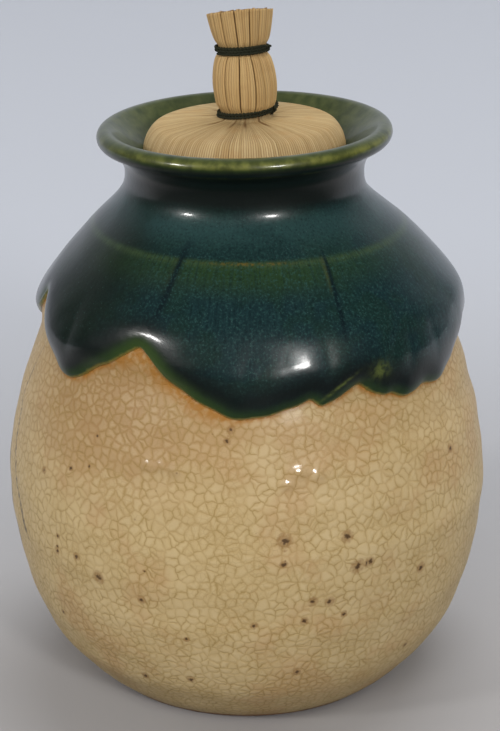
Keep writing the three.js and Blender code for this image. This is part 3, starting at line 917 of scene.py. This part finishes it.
def lip_colour(recipe, wall, colour):
    """The glaze thins over the lip's roll to olive; under it stays the dark of pooled glaze and
    painted shade.
    """
    place, azimuth, height = wall
    height = height - recipe.math("SINE", recipe.math("RADIANS", azimuth)) * LIP_RISE
    inside = recipe.attribute("inside")
    blotch = recipe.group("Mottle", Place=place, Size=1.7, Contrast=1.1)
    crest = height.fade(88.9, 90.0) * inside.fade(0.0, 0.9, 1.0, 0.0)
    crest = crest * azimuth.bell(15.0, 70.0).fade(0.0, 1.0, 0.35, 1.0)
    crest = crest * blotch.fade(0.2, 0.8, 0.4, 1.0)
    olive = recipe.mix(blotch, srgb(16, 28, 8), srgb(42, 58, 18))
    return recipe.paint(
        colour,
        (height.fade(88.3, 89.3), recipe.mix(crest, olive, srgb(132, 132, 62))),
        (height.bell(87.55, 0.22) * blotch.fade(0.3, 0.7, 0.2, 0.8), srgb(70, 84, 34)),
        (inside, recipe.mix(blotch, srgb(50, 60, 36), srgb(80, 86, 52))),
    )


# %% Stoneware
def stoneware():
    material, recipe, shader = new_material(
        "stoneware", Coat_Roughness=0.12, IOR=1.5, Coat_IOR=1.5, Specular_IOR_Level=0.45
    )
    wall = recipe.where()
    place, _, height = wall
    over_edge = recipe.attribute("edge_distance") + (recipe.noise(place, 0.8) - 0.5) * 0.5
    cream, cream_relief = cream_colour(recipe, wall)
    green = lip_colour(recipe, wall, green_colour(recipe, wall, over_edge))
    stain = recipe.attribute("stain") * recipe.noise(place, 1.1).fade(0.3, 0.55, 0.35, 0.95)
    covered = over_edge.fade(-0.12, 0.12)
    bare = (height + recipe.noise(place, 6.0) * -1.6).fade(0.3, 0.6, 1.0, 0.0)
    colour = recipe.paint(
        add_marks(recipe, wall, cream),
        (stain * 0.95, srgb(154, 103, 30)),
        (covered, green),
        (bare, srgb(150, 112, 78)),
    )
    recipe.feed(shader["Base Color"], colour)
    relief = cream_relief * (1.0 - covered) + recipe.noise(place, 0.9) * 0.02
    recipe.feed(shader["Normal"], recipe.bump(relief))
    recipe.feed(shader["Roughness"], covered.fade(0.0, 1.0, 0.47, 0.34) + bare * 0.4)
    glassy = recipe.attribute("drop").fade(0.1, 0.5, 0.05, 1.0)
    coat = glassy + covered * (0.55 - glassy)
    recipe.feed(shader["Coat Weight"], coat * bare.fade(0.0, 1.0, 1.0, 0.0))
    return material


body = build_body(stoneware())
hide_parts("bottle_body")
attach(body, "bottle")
print("faces of the bottle:", len(body.data.polygons))

# %% [markdown]
# The way of a rush through the stopper
#
# The stopper is made as a broom is: a bundle of rushes is tied, and the outer ones are folded
# down over a pad of wadding, tied again underneath, and cut off level above. One line through the
# stopper, from the tail under the pad to the cut top of the handle, guides every rush.

# %% Way of the rushes
CROWN = LIP_HEIGHT + 1.0
PAD_RADIUS = 15.65
PAD_SEAT = 14.4
PAD_UNDERSIDE = 77.3
HANDLE_TOP = CROWN + 16.1
# height, and radius of the rushes inside the tie
LOWER_TIE = (92.45, 3.85)
UPPER_TIE = (102.2, 3.7)
# radius, height and thickness
RUSH_WAY = np.array([
    (2.8, 75.2, 0.7), (2.8, 76.7, 0.7), (3.75, 77.3, 0.7), (11.5, 77.6, 0.7),
    (13.4, 79.0, 0.7), (PAD_SEAT, 81.5, 0.7), (PAD_RADIUS, 87.5, 0.7), (15.0, 89.3, 0.7),
    (14.1, 90.45, 0.7), (11.1, 91.15, 0.7), (7.5, 91.5, 0.7), (4.95, 91.6, 0.8),
    (4.1, 91.75, 1.0), (3.85, 92.2, 1.0), (4.1, 92.9, 1.0), (4.62, 93.7, 1.0),
    (4.82, 94.8, 1.0), (4.97, 96.6, 1.0), (4.85, 98.4, 1.0), (4.6, 99.8, 1.0),
    (4.25, 100.9, 1.0), (3.72, 101.7, 1.0), (3.72, 102.7, 1.0), (4.2, 103.5, 1.0),
    (4.55, 104.6, 1.0), (4.85, 106.0, 1.0), (5.14, HANDLE_TOP, 1.0),
])


def lengths(path):
    """The way along a path at each of its points."""
    steps = np.linalg.norm(np.diff(path, axis=0), axis=1)
    return np.concatenate([[0], np.cumsum(steps)])


def smooth_way(way, step):
    """Evenly spaced points on a smooth curve through the stations."""
    chord = lengths(way[:, :2])
    slopes = np.gradient(way, chord, axis=0)
    at = np.linspace(0, chord[-1], int(chord[-1] / step))
    curves = [hermite(chord, way[:, k], slopes[:, k], at) for k in range(3)]
    return at, np.stack(curves, axis=-1)


ALONG, WAY = smooth_way(RUSH_WAY, 0.34)
TANGENT = np.gradient(WAY[:, :2], ALONG, axis=0)
TANGENT /= np.hypot(*TANGENT.T)[:, None]
OUTWARD = np.stack([TANGENT[:, 1], -TANGENT[:, 0]], axis=-1)
IN_HANDLE = np.clip((WAY[:, 1] - CROWN - 0.2) / 1.2, 0, 1) * (ALONG > 30)
print("length of one rush in mm:", round(float(ALONG[-1]), 1))

# %% Lean and cut of the handle
HANDLE_LEAN = math.tan(math.radians(4))
CUT_SLOPE = math.tan(math.radians(15))
CUT_TOWARDS = math.radians(16)
CUT_STRETCH_FROM = 103.5


def tied(height):
    """1 where a tie pinches the handle, 0 away from the ties."""
    return sum(np.exp(-(((height - tie[0]) / 0.8) ** 2)) for tie in (LOWER_TIE, UPPER_TIE))


def lean(points):
    """The pad lies as the lip does, and the handle leans a little to the left."""
    over_crown = np.maximum(points[..., 2] - CROWN, 0)
    points = hand_made(points, 0, 0)
    points[..., 0] -= HANDLE_LEAN * over_crown
    points[..., 0] -= 0.4 * np.clip((points[..., 2] - 75) / 5, 0, 1) * np.exp(-over_crown)
    return points


def cut_height(x, y):
    """The slanting cut across the top of the handle."""
    towards = x * math.sin(CUT_TOWARDS) - y * math.cos(CUT_TOWARDS)
    return HANDLE_TOP + towards * CUT_SLOPE


def cut_slanting(points):
    """Stretches the flared top of the handle up to the slanting cut."""
    level = cut_height(points[:, 0], points[:, 1])
    share = (points[:, 2] - CUT_STRETCH_FROM) / (HANDLE_TOP - CUT_STRETCH_FROM)
    stretched = between(CUT_STRETCH_FROM, level, share)
    points[:, 2] = np.where(share > 0, stretched, points[:, 2])


print("height of the cut at front and back in mm:", [round(cut_height(0, y), 1) for y in (-5, 5)])

# %% [markdown]
# Sixteen bunches of rush
#
# Each bunch is a strip of grid that follows the way of the rushes. Its top is fluted: a ridge for
# every culm, twice as many on the pad as on the handle, where only the outer layer shows. A
# flat strip with a bump map would look right from afar, but its outline would be too smooth.

# %% One bunch
FIRST_BUNCH = -9.1
BUNCH_WIDTHS = [29, 20, 20, 22, 25, 21, 24, 20, 25, 21, 23, 21, 21, 20, 19, 29]
BUNCH_WIDTHS = np.array(BUNCH_WIDTHS) * (360 / sum(BUNCH_WIDTHS))
BUNCH_STARTS = FIRST_BUNCH + np.concatenate([[0], np.cumsum(BUNCH_WIDTHS)[:-1]])
# how wide the gap before each bunch is in the handle, in hundredths of a millimetre
GAPS = np.array([10, 8, 5, 2, 6, 2, 6, 3, 7, 2, 5, 3, 6, 2, 6, 6]) / 100
GAP_ON_PAD = 0.01
CULM_DEGREES = 1.45
CULMS_TO_ONE_ON_HANDLE = 3.6
SIDE_POINTS = 4
UNDER_POINTS = 9
dice = np.random.default_rng(11)


def sway(azimuth):
    """How far the rushes wander round the handle, in degrees, the same for neighbours."""
    free = IN_HANDLE * (1 - np.clip(tied(WAY[:, 1]), 0, 1))
    return free * (1.6 * np.sin(ALONG / 3.1 + math.radians(azimuth) * 3))


def pleats(azimuth, radius):
    """Folds that the lower tie gathers in the pad's cover, from 0 to 1 in a fold."""
    waves = np.sin(13 * azimuth + 1) + 0.8 * np.sin(21 * azimuth + 2.5) + 0.6 * np.sin(34 * azimuth)
    return np.clip(waves - 0.6, 0, 1) * math.exp(-(((radius - 4.6) / 2.8) ** 2))


def bunch_rings(number):
    """Closed rings of one bunch, from its tail to its cut end, and facts for its finish."""
    sides = BUNCH_STARTS[number] + np.array([0, BUNCH_WIDTHS[number]])
    swaying = [np.radians(side + sway(side)) for side in sides]
    culms = max(int(round(BUNCH_WIDTHS[number] / CULM_DEGREES)), 4)
    share = np.linspace(0, 1, culms * SIDE_POINTS + 1)
    thick = max(round(culms / CULMS_TO_ONE_ON_HANDLE), 3)
    which = (share * thick).astype(int)
    fine = np.abs(np.sin(math.pi * culms * share)) ** 0.7
    coarse = np.abs(np.sin(math.pi * thick * share)) ** 0.6
    height_of_culm = dice.uniform(-0.05, 0.03, thick + 1)[which]
    proud = dice.uniform(-0.16, 0.16, thick + 1)[which]
    from_middle = np.abs(2 * share - 1)
    rings, painted_shades = [], []
    for k, (radius, height, thickness) in enumerate(WAY):
        handle = IN_HANDLE[k]
        pinch = min(float(tied(height)), 1) * handle
        open_share = handle * (1 - 0.6 * pinch)
        gaps = (GAPS[number], GAPS[(number + 1) % 16])
        before, after = [between(GAP_ON_PAD, gap, open_share) for gap in gaps]
        low = swaying[0][k] + before / 2 / radius
        high = swaying[1][k] - after / 2 / radius
        azimuth = between(low, high, share)
        fold = pleats(azimuth, radius) * (1 - handle)
        ridge = between(0.1 * fine, 0.1 * coarse + 0.02 * fine, handle) - 0.12 * fold
        crown = handle * (1 - 0.5 * pinch) * 0.26 * from_middle ** 5
        depth = 0.16 - ridge + crown - handle * height_of_culm
        depth = np.append(depth, np.full(UNDER_POINTS, thickness))
        azimuth = np.append(azimuth, np.linspace(high, low, UNDER_POINTS))
        points = round_axis(azimuth, radius - depth * OUTWARD[k, 0], height - depth * OUTWARD[k, 1])
        cut_slanting(points)
        if k == len(WAY) - 1:
            points[:, 2] += np.append(proud, np.full(UNDER_POINTS, -0.1))
        rings.append(lean(points))
        # painted shade: dark in the grooves between culms, in the pleats, at the sides of a bunch
        # and on its hidden underside
        painted_shade = (1 - between(fine, coarse, handle)) * between(0.85, 0.9, handle)
        painted_shade = np.maximum(painted_shade, 0.9 * (1 - handle) * (1 - fine) + 0.95 * fold)
        painted_shade = np.maximum(painted_shade, handle * from_middle ** 14)
        painted_shades.append(np.append(painted_shade, np.ones(UNDER_POINTS)))
    culm = np.append(share * culms + 20 * number, np.full(UNDER_POINTS, 20.0 * number))
    return np.array(rings), np.array(painted_shades), culm


# %% [markdown]
# The look of dry rush
#
# Dry rush is straw coloured, with long fine grain, and no two culms have quite the same tone.
# The grooves between them, the pleats and the hidden undersides are painted brown as shade.


# %% Rush
def rush():
    material, recipe, shader = new_material("rush", Roughness=0.55, Specular_IOR_Level=0.35)
    place, _, height = recipe.where()
    painted_shade, culm, along = [recipe.attribute(name) for name in ("painted_shade", "culm", "along")]
    tone, second = [
        recipe.node("TexWhiteNoise", W=recipe.math("FLOOR", number), noise_dimensions="1D")
        for number in (culm * 0.28, culm)
    ]
    grain = recipe.group("Streaks", Across=culm, Up=along, Width=0.16, Length=4.0)
    patch = recipe.group("Mottle", Place=place, Size=4.0, Contrast=1.2)
    folded = recipe.mix(second, srgb(157, 135, 95), srgb(184, 163, 122))
    colour = recipe.paint(
        recipe.mix(tone, srgb(202, 170, 116), srgb(182, 148, 96)),
        (second * 0.3, srgb(212, 184, 134)),
        (height.fade(92.0, 92.8, 0.9, 0.0), folded),
        (grain.fade(0.4, 0.75, 0.0, 0.45), srgb(162, 126, 78)),
        (patch.fade(0.5, 0.9, 0.0, 0.35), srgb(172, 136, 86)),
        # painted shade: brown in the grooves, pleats and hidden parts of the rush
        ((painted_shade + grain * 0.15).fade(0.35, 1.05, 0.0, 0.85), srgb(112, 80, 44)),
    )
    recipe.feed(shader["Base Color"], colour)
    recipe.feed(shader["Roughness"], grain.fade(0.2, 0.8, 0.5, 0.68))
    recipe.feed(shader["Normal"], recipe.bump(grain * 0.05))
    return material


def build_bunch(number, material):
    rings, painted_shade, culm = bunch_rings(number)
    points, faces = closed_tube(rings, rings[0].mean(axis=0), rings[-1].mean(axis=0))
    made = new_piece(f"rush_bunch_{number + 1:02d}", points, faces, material)
    store(made, "painted_shade", with_ends(painted_shade))
    store(made, "culm", with_ends(np.broadcast_to(culm, painted_shade.shape)))
    store(made, "along", with_ends(np.broadcast_to(ALONG[:, None], painted_shade.shape)))
    return made


rush_finish = rush()
bunches = [build_bunch(number, rush_finish) for number in range(16)]
for number, bunch in enumerate(bunches):
    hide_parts(f"rush_strand_{number + 1:02d}")
    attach(bunch, "stopper")
print("faces of the first bunch:", len(bunches[0].data.polygons))

# %% [markdown]
# The cut ends at the heart of the handle
#
# Inside the ring of folded rushes stand the straight ones. From above, their cut ends show as
# small rounds with a pithy middle, packed side by side, none quite level with the next.

# %% Heart of the stopper
CULM_RADIUS = 0.43
CULM_PITCH = 0.86
HEART_RADIUS = 3.6
# radius and height of the hidden stem under the cut ends
STEM = np.array([(1.8, 75.3), (1.8, 90.0), (2.6, 92.2), (3.7, 96.6), (2.4, 101.6), (2.4, 103.2)])


def tube(path, radii, sides, turn=0.0):
    """A closed tube of level rings round an upright path."""
    angles = np.arange(sides) / sides * 2 * math.pi + turn
    x = path[:, 0:1] + radii[:, None] * np.cos(angles)
    y = path[:, 1:2] + radii[:, None] * np.sin(angles)
    rings = np.stack([x, y, np.broadcast_to(path[:, 2:3], x.shape)], axis=-1)
    return closed_tube(rings, path[0], path[-1])


def add_shell(shells, points, faces, *facts):
    """Adds one closed shell to a list of shells, with its facts for the finish."""
    first = sum(len(shell[0]) for shell in shells)
    shells.append((points, [[corner + first for corner in face] for face in faces], facts))


def culm_shell(x, y, number):
    """One straight culm of the core, whose cut end has a soft hollow of pith."""
    top = float(cut_height(x, y)) + dice.uniform(-0.22, 0.12)
    spread = np.linspace(0, 1, 7)
    heights = between(UPPER_TIE[0] + 0.2, top - 0.06, spread)
    pinch = between(0.57, 1.0, spread ** 0.7)
    path = np.stack([x * pinch, y * pinch, heights], axis=-1)
    path = np.vstack([path, [[x, y, top], [x, y, top], [x, y, top - 0.07]]])
    radii = CULM_RADIUS * np.append(between(0.72, 1.0, spread), [0.93, 0.62, 0.45])
    points, faces = tube(path, radii, 10, number)
    tones = np.full(len(points), 400.0 + 2 * number)
    # each culm carries a little painted shade
    return points, faces, np.full(len(points), 0.1), tones, points[:, 2] - 60


def build_heart(material):
    shells = []
    path = np.stack([np.zeros(len(STEM)), np.zeros(len(STEM)), STEM[:, 1]], axis=-1)
    points, faces = tube(path, STEM[:, 0], 24)
    # the hidden stem is painted half in shade
    painted_shades = np.full(len(points), 0.5)
    add_shell(shells, points, faces, painted_shades, points[:, 0] * 4 + 300, points[:, 2])
    number = 0
    for row in range(-5, 6):
        for column in range(-5, 6):
            x = (column + 0.5 * (row % 2)) * CULM_PITCH + dice.uniform(-0.05, 0.05)
            y = row * CULM_PITCH * 0.866 + dice.uniform(-0.05, 0.05)
            if math.hypot(x, y) > HEART_RADIUS:
                continue
            number += 1
            add_shell(shells, *culm_shell(x, y, number))
    points = lean(np.vstack([shell[0] for shell in shells]))
    heart = new_piece("rush_heart", points, sum((shell[1] for shell in shells), []), material)
    for index, name in enumerate(("painted_shade", "culm", "along")):
        store(heart, name, np.concatenate([shell[2][index] for shell in shells]))
    print("culms in the heart:", number)
    return heart


heart = build_heart(rush_finish)
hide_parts("core_bundle")
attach(heart, "stopper")

# %% [markdown]
# Ties of twisted thread
#
# Thread is two plies laid together. Each ply is a thin tube that winds round the thread's own
# path, which in turn winds round the handle, so light catches it as a row of slanting bumps.

# %% Twisted thread
PLY_RADIUS = 0.15
PLY_OFFSET = 0.11
THREAD = PLY_RADIUS + PLY_OFFSET
TWIST = 1.15


def unit(vectors):
    return vectors / np.linalg.norm(vectors, axis=1)[:, None]


def ply(path, start, sides=8):
    """A tube that winds round the path."""
    tangent = unit(np.gradient(path, axis=0))
    length = lengths(path)
    side = unit(np.cross(tangent, (0.12, 0.07, 0.99)))
    rise = np.cross(tangent, side)
    turn = (start + 2 * math.pi * length / TWIST)[:, None]
    centre = path + PLY_OFFSET * (np.cos(turn) * side + np.sin(turn) * rise)
    end = np.minimum(np.minimum(length, length[-1] - length) / 0.12, 1)
    radii = PLY_RADIUS * between(0.45, 1.0, np.sqrt(end))
    angles = (np.arange(sides) / sides * 2 * math.pi)[:, None]
    spokes = np.cos(angles) * side[:, None, :] + np.sin(angles) * rise[:, None, :]
    rings = centre[:, None, :] + radii[:, None, None] * spokes
    points, faces = closed_tube(rings, centre[0], centre[-1])
    return points, [face[::-1] for face in faces]


def even_path(points, step=0.1):
    """The same path with its points a step apart."""
    points = np.asarray(points, float)
    length = lengths(points)
    at = np.arange(0, length[-1], step)
    return np.stack([np.interp(at, length, points[:, k]) for k in range(3)], axis=-1)


def wound(radius, turns, start, height, pitch, tilt=0.0, nod=0.0):
    """A path wound round the handle; tilt raises its right side and nod its front, in degrees."""
    share = np.linspace(0, 1, int(90 * turns))
    azimuth = math.radians(start) + share * turns * 2 * math.pi
    path = round_axis(azimuth, radius, height + (share - 0.5) * turns * pitch)
    path[:, 2] += path[:, 0] * math.tan(math.radians(tilt))
    path[:, 2] -= path[:, 1] * math.tan(math.radians(nod))
    return path


def curl(points, count=30):
    """A smooth curve through a few points, in millimetres."""
    points = np.array(points, float)
    knots = np.arange(len(points), dtype=float)
    slopes = np.gradient(points, knots, axis=0)
    at = np.linspace(0, len(points) - 1, count)
    return np.stack([hermite(knots, points[:, k], slopes[:, k], at) for k in range(3)], axis=-1)


def on_handle(azimuth, radius, height):
    return round_axis(math.radians(azimuth), radius, height)


def knot(azimuth, radius, height, size=0.42):
    """A small overhand knot: a trefoil lying against the handle."""
    out = on_handle(azimuth, 1, 0)
    side = on_handle(azimuth + 90, 1, 0)
    t = np.linspace(0, 2 * math.pi, 80)[:, None]
    flat = (np.sin(t) + 2 * np.sin(2 * t)) / 3
    up = (np.cos(t) - 2 * np.cos(2 * t)) / 3
    deep = -np.sin(3 * t) / 3
    loop = flat * side + up * np.array([0, 0, 1.0]) + deep * out
    return on_handle(azimuth, radius, height) + size * loop


def build_thread(name, paths, material):
    shells = []
    for path in paths:
        for start in (0.0, math.pi):
            add_shell(shells, *ply(even_path(path), start))
    points = lean(np.vstack([shell[0] for shell in shells]))
    return new_piece(name, points, sum((shell[1] for shell in shells), []), material)


def thread_finish():
    material, recipe, shader = new_material("thread", Roughness=0.8, Specular_IOR_Level=0.25)
    fibres = recipe.noise(recipe.where()[0], 0.12)
    recipe.feed(shader["Base Color"], recipe.mix(fibres, srgb(24, 26, 20), srgb(52, 54, 38)))
    recipe.feed(shader["Normal"], recipe.bump(fibres * 0.06))
    return material


# %% The three ties
thread = thread_finish()
upper_radius = UPPER_TIE[1] + THREAD + 0.02
upper_height = UPPER_TIE[0]
lower_radius = LOWER_TIE[1] + THREAD + 0.04
lower_height = LOWER_TIE[0]

upper_wraps = wound(upper_radius, 2.35, -70, upper_height, 0.42, tilt=1.0, nod=4.0)
upper_end = curl([
    upper_wraps[-1],
    on_handle(66, upper_radius + 0.12, upper_height + 0.5),
    on_handle(78, upper_radius + 0.5, upper_height + 0.35),
])
lower_wraps = wound(lower_radius, 2.0, 78, lower_height - 0.1, 0.46, tilt=3.0, nod=2.0)
lower_knot = knot(80, lower_radius + 0.32, lower_height + 0.45)
# azimuth, and how far out and up from the tie, along each loose end
LOWER_ENDS = [
    [(80, 0.35, 0.5), (87, 0.55, 1.0), (92, 0.5, 1.5)],
    [(84, 0.35, 0.4), (96, 0.7, 0.5), (104, 0.8, 0.85)],
]
lower_ends = [
    curl([on_handle(turn, lower_radius + out, lower_height + up) for turn, out, up in end])
    for end in LOWER_ENDS
]
under_wraps = wound(2.8 + THREAD + 0.04, 2.4, 160, PAD_UNDERSIDE - 1.25, 0.46)

ties = {
    "upper_tie": build_thread("thread_upper", [upper_wraps, upper_end], thread),
    "lower_tie": build_thread("thread_lower", [lower_wraps, lower_knot, *lower_ends], thread),
    "under_tie": build_thread("thread_under", [under_wraps], thread),
}
for node, tie in ties.items():
    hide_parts(node)
    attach(tie, "stopper")
    print(node, "faces:", len(tie.data.polygons))

# %% [markdown]
# The wadding
#
# The pad's filling keeps its plain solid, because the rushes hide it. It only shows as darkness
# between two bunches, so a brown felted finish is enough.


# %% Wadding
def wadding():
    material, recipe, shader = new_material("wadding", Roughness=0.9, Specular_IOR_Level=0.2)
    felt = recipe.group("Mottle", Place=recipe.where()[0], Size=0.8, Contrast=1.0)
    recipe.feed(shader["Base Color"], recipe.mix(felt, srgb(96, 70, 40), srgb(128, 98, 60)))
    return material


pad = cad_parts["pad_disc"]
wadding_finish = wadding()
for slot in pad.material_slots:
    slot.material = wadding_finish
print("slots of the pad:", len(pad.material_slots))

# %% [markdown]
# Table, lamps and daylight
#
# The bottle stands on a pale cloth in soft room light. Two small bright lamps in front give the
# pairs of sharp lights on lip, neck and lobes; large soft ones fill the shade and stay out of
# the reflections.


# %% Table
def build_table():
    material, recipe, shader = new_material("table_cloth", Roughness=0.9, Specular_IOR_Level=0.1)
    y = recipe.node("SeparateXYZ", recipe.where()[0], output=1)
    glossy = recipe.node("LightPath", output="Is Glossy Ray")
    colour = recipe.paint(
        # painted light and shade: the cloth is darker in front of the bottle and paler, bluer
        # behind it
        recipe.mix(y.fade(-60.0, 260.0), srgb(159, 157, 157), srgb(185, 188, 195)),
        # painted shadow seen only in reflections: the cloth in front of the bottle turns nearly
        # black
        (y.fade(-90.0, 90.0, 0.88, 0.0) * glossy, srgb(30, 30, 32)),
    )
    recipe.feed(shader["Base Color"], colour)
    bend = [(900 + 300 * math.sin(a), 300 - 300 * math.cos(a)) for a in np.linspace(0.1, 1.5, 12)]
    profile = [(-2500, 0), (900, 0), *bend, (1210, 900)]
    points = [(x, y, z) for y, z in profile for x in (-1500, 1500)]
    faces = [[2 * k, 2 * k + 1, 2 * k + 3, 2 * k + 2] for k in range(len(profile) - 1)]
    table = new_piece("table", points, faces, material)
    return table


print("faces of the table:", len(build_table().data.polygons))


# %% Lamps and world
LAMP_AIM = Vector((0, 0, 0.055))
LAMP_ASPECT = 1.7


def add_lamp(name, azimuth, elevation, distance, size, watts, colour, sharp):
    """An area lamp aimed at the bottle; azimuth 0 is the front, and it grows to the right."""
    data = bpy.data.lights.new(name, "AREA")
    data.shape = "ELLIPSE"
    data.size = size
    data.size_y = size / LAMP_ASPECT
    data.energy = watts
    data.color = colour
    lamp = bpy.data.objects.new(name, data)
    bpy.context.scene.collection.objects.link(lamp)
    rise = math.radians(elevation)
    towards = Vector(on_handle(azimuth, math.cos(rise), math.sin(rise)))
    lamp.location = LAMP_AIM + distance * towards
    lamp.rotation_euler = towards.to_track_quat("Z", "Y").to_euler()
    lamp.visible_glossy = sharp


add_lamp("lamp_left", -55, 24, 1.0, 0.15, 2.5, (1.0, 0.98, 0.96), True)
add_lamp("lamp_right", 24, 22, 1.0, 0.18, 2.9, (1.0, 0.98, 0.96), True)
add_lamp("fill_front", -6, 38, 1.5, 1.2, 9.8, (1.0, 0.99, 0.98), False)
add_lamp("rim_left", -115, 18, 1.5, 1.0, 4.0, (1.0, 1.0, 1.0), False)
add_lamp("rim_right", 115, 18, 1.5, 1.0, 5.0, (1.0, 1.0, 1.0), False)
add_lamp("fill_above", 150, 74, 1.7, 1.6, 17, (0.97, 0.98, 1.0), False)


def light_room():
    """Weak even daylight; past the table, or in the glaze, the room is pale behind the bottle."""
    world = bpy.data.worlds.new("room")
    world.use_nodes = True
    recipe = Recipe(world.node_tree)
    behind = recipe.node("SeparateXYZ", recipe.node("TexCoord"), output=1).fade(0.2, 1.0)
    camera, glossy = recipe.node("LightPath", output=("Is Camera Ray", "Is Glossy Ray"))
    colour = recipe.paint(
        recipe.mix(behind, (0.17, 0.175, 0.18, 1.0), (0.27, 0.28, 0.3, 1.0)),
        (glossy, recipe.mix(behind, srgb(26, 28, 31), srgb(192, 195, 200))),
        (camera, srgb(190, 194, 202)),
    )
    recipe.feed(world.node_tree.nodes["Background"].inputs["Color"], colour)
    bpy.context.scene.world = world


light_room()
bpy.context.scene.view_settings.view_transform = "Standard"
print("lamps:", len(bpy.data.lights))
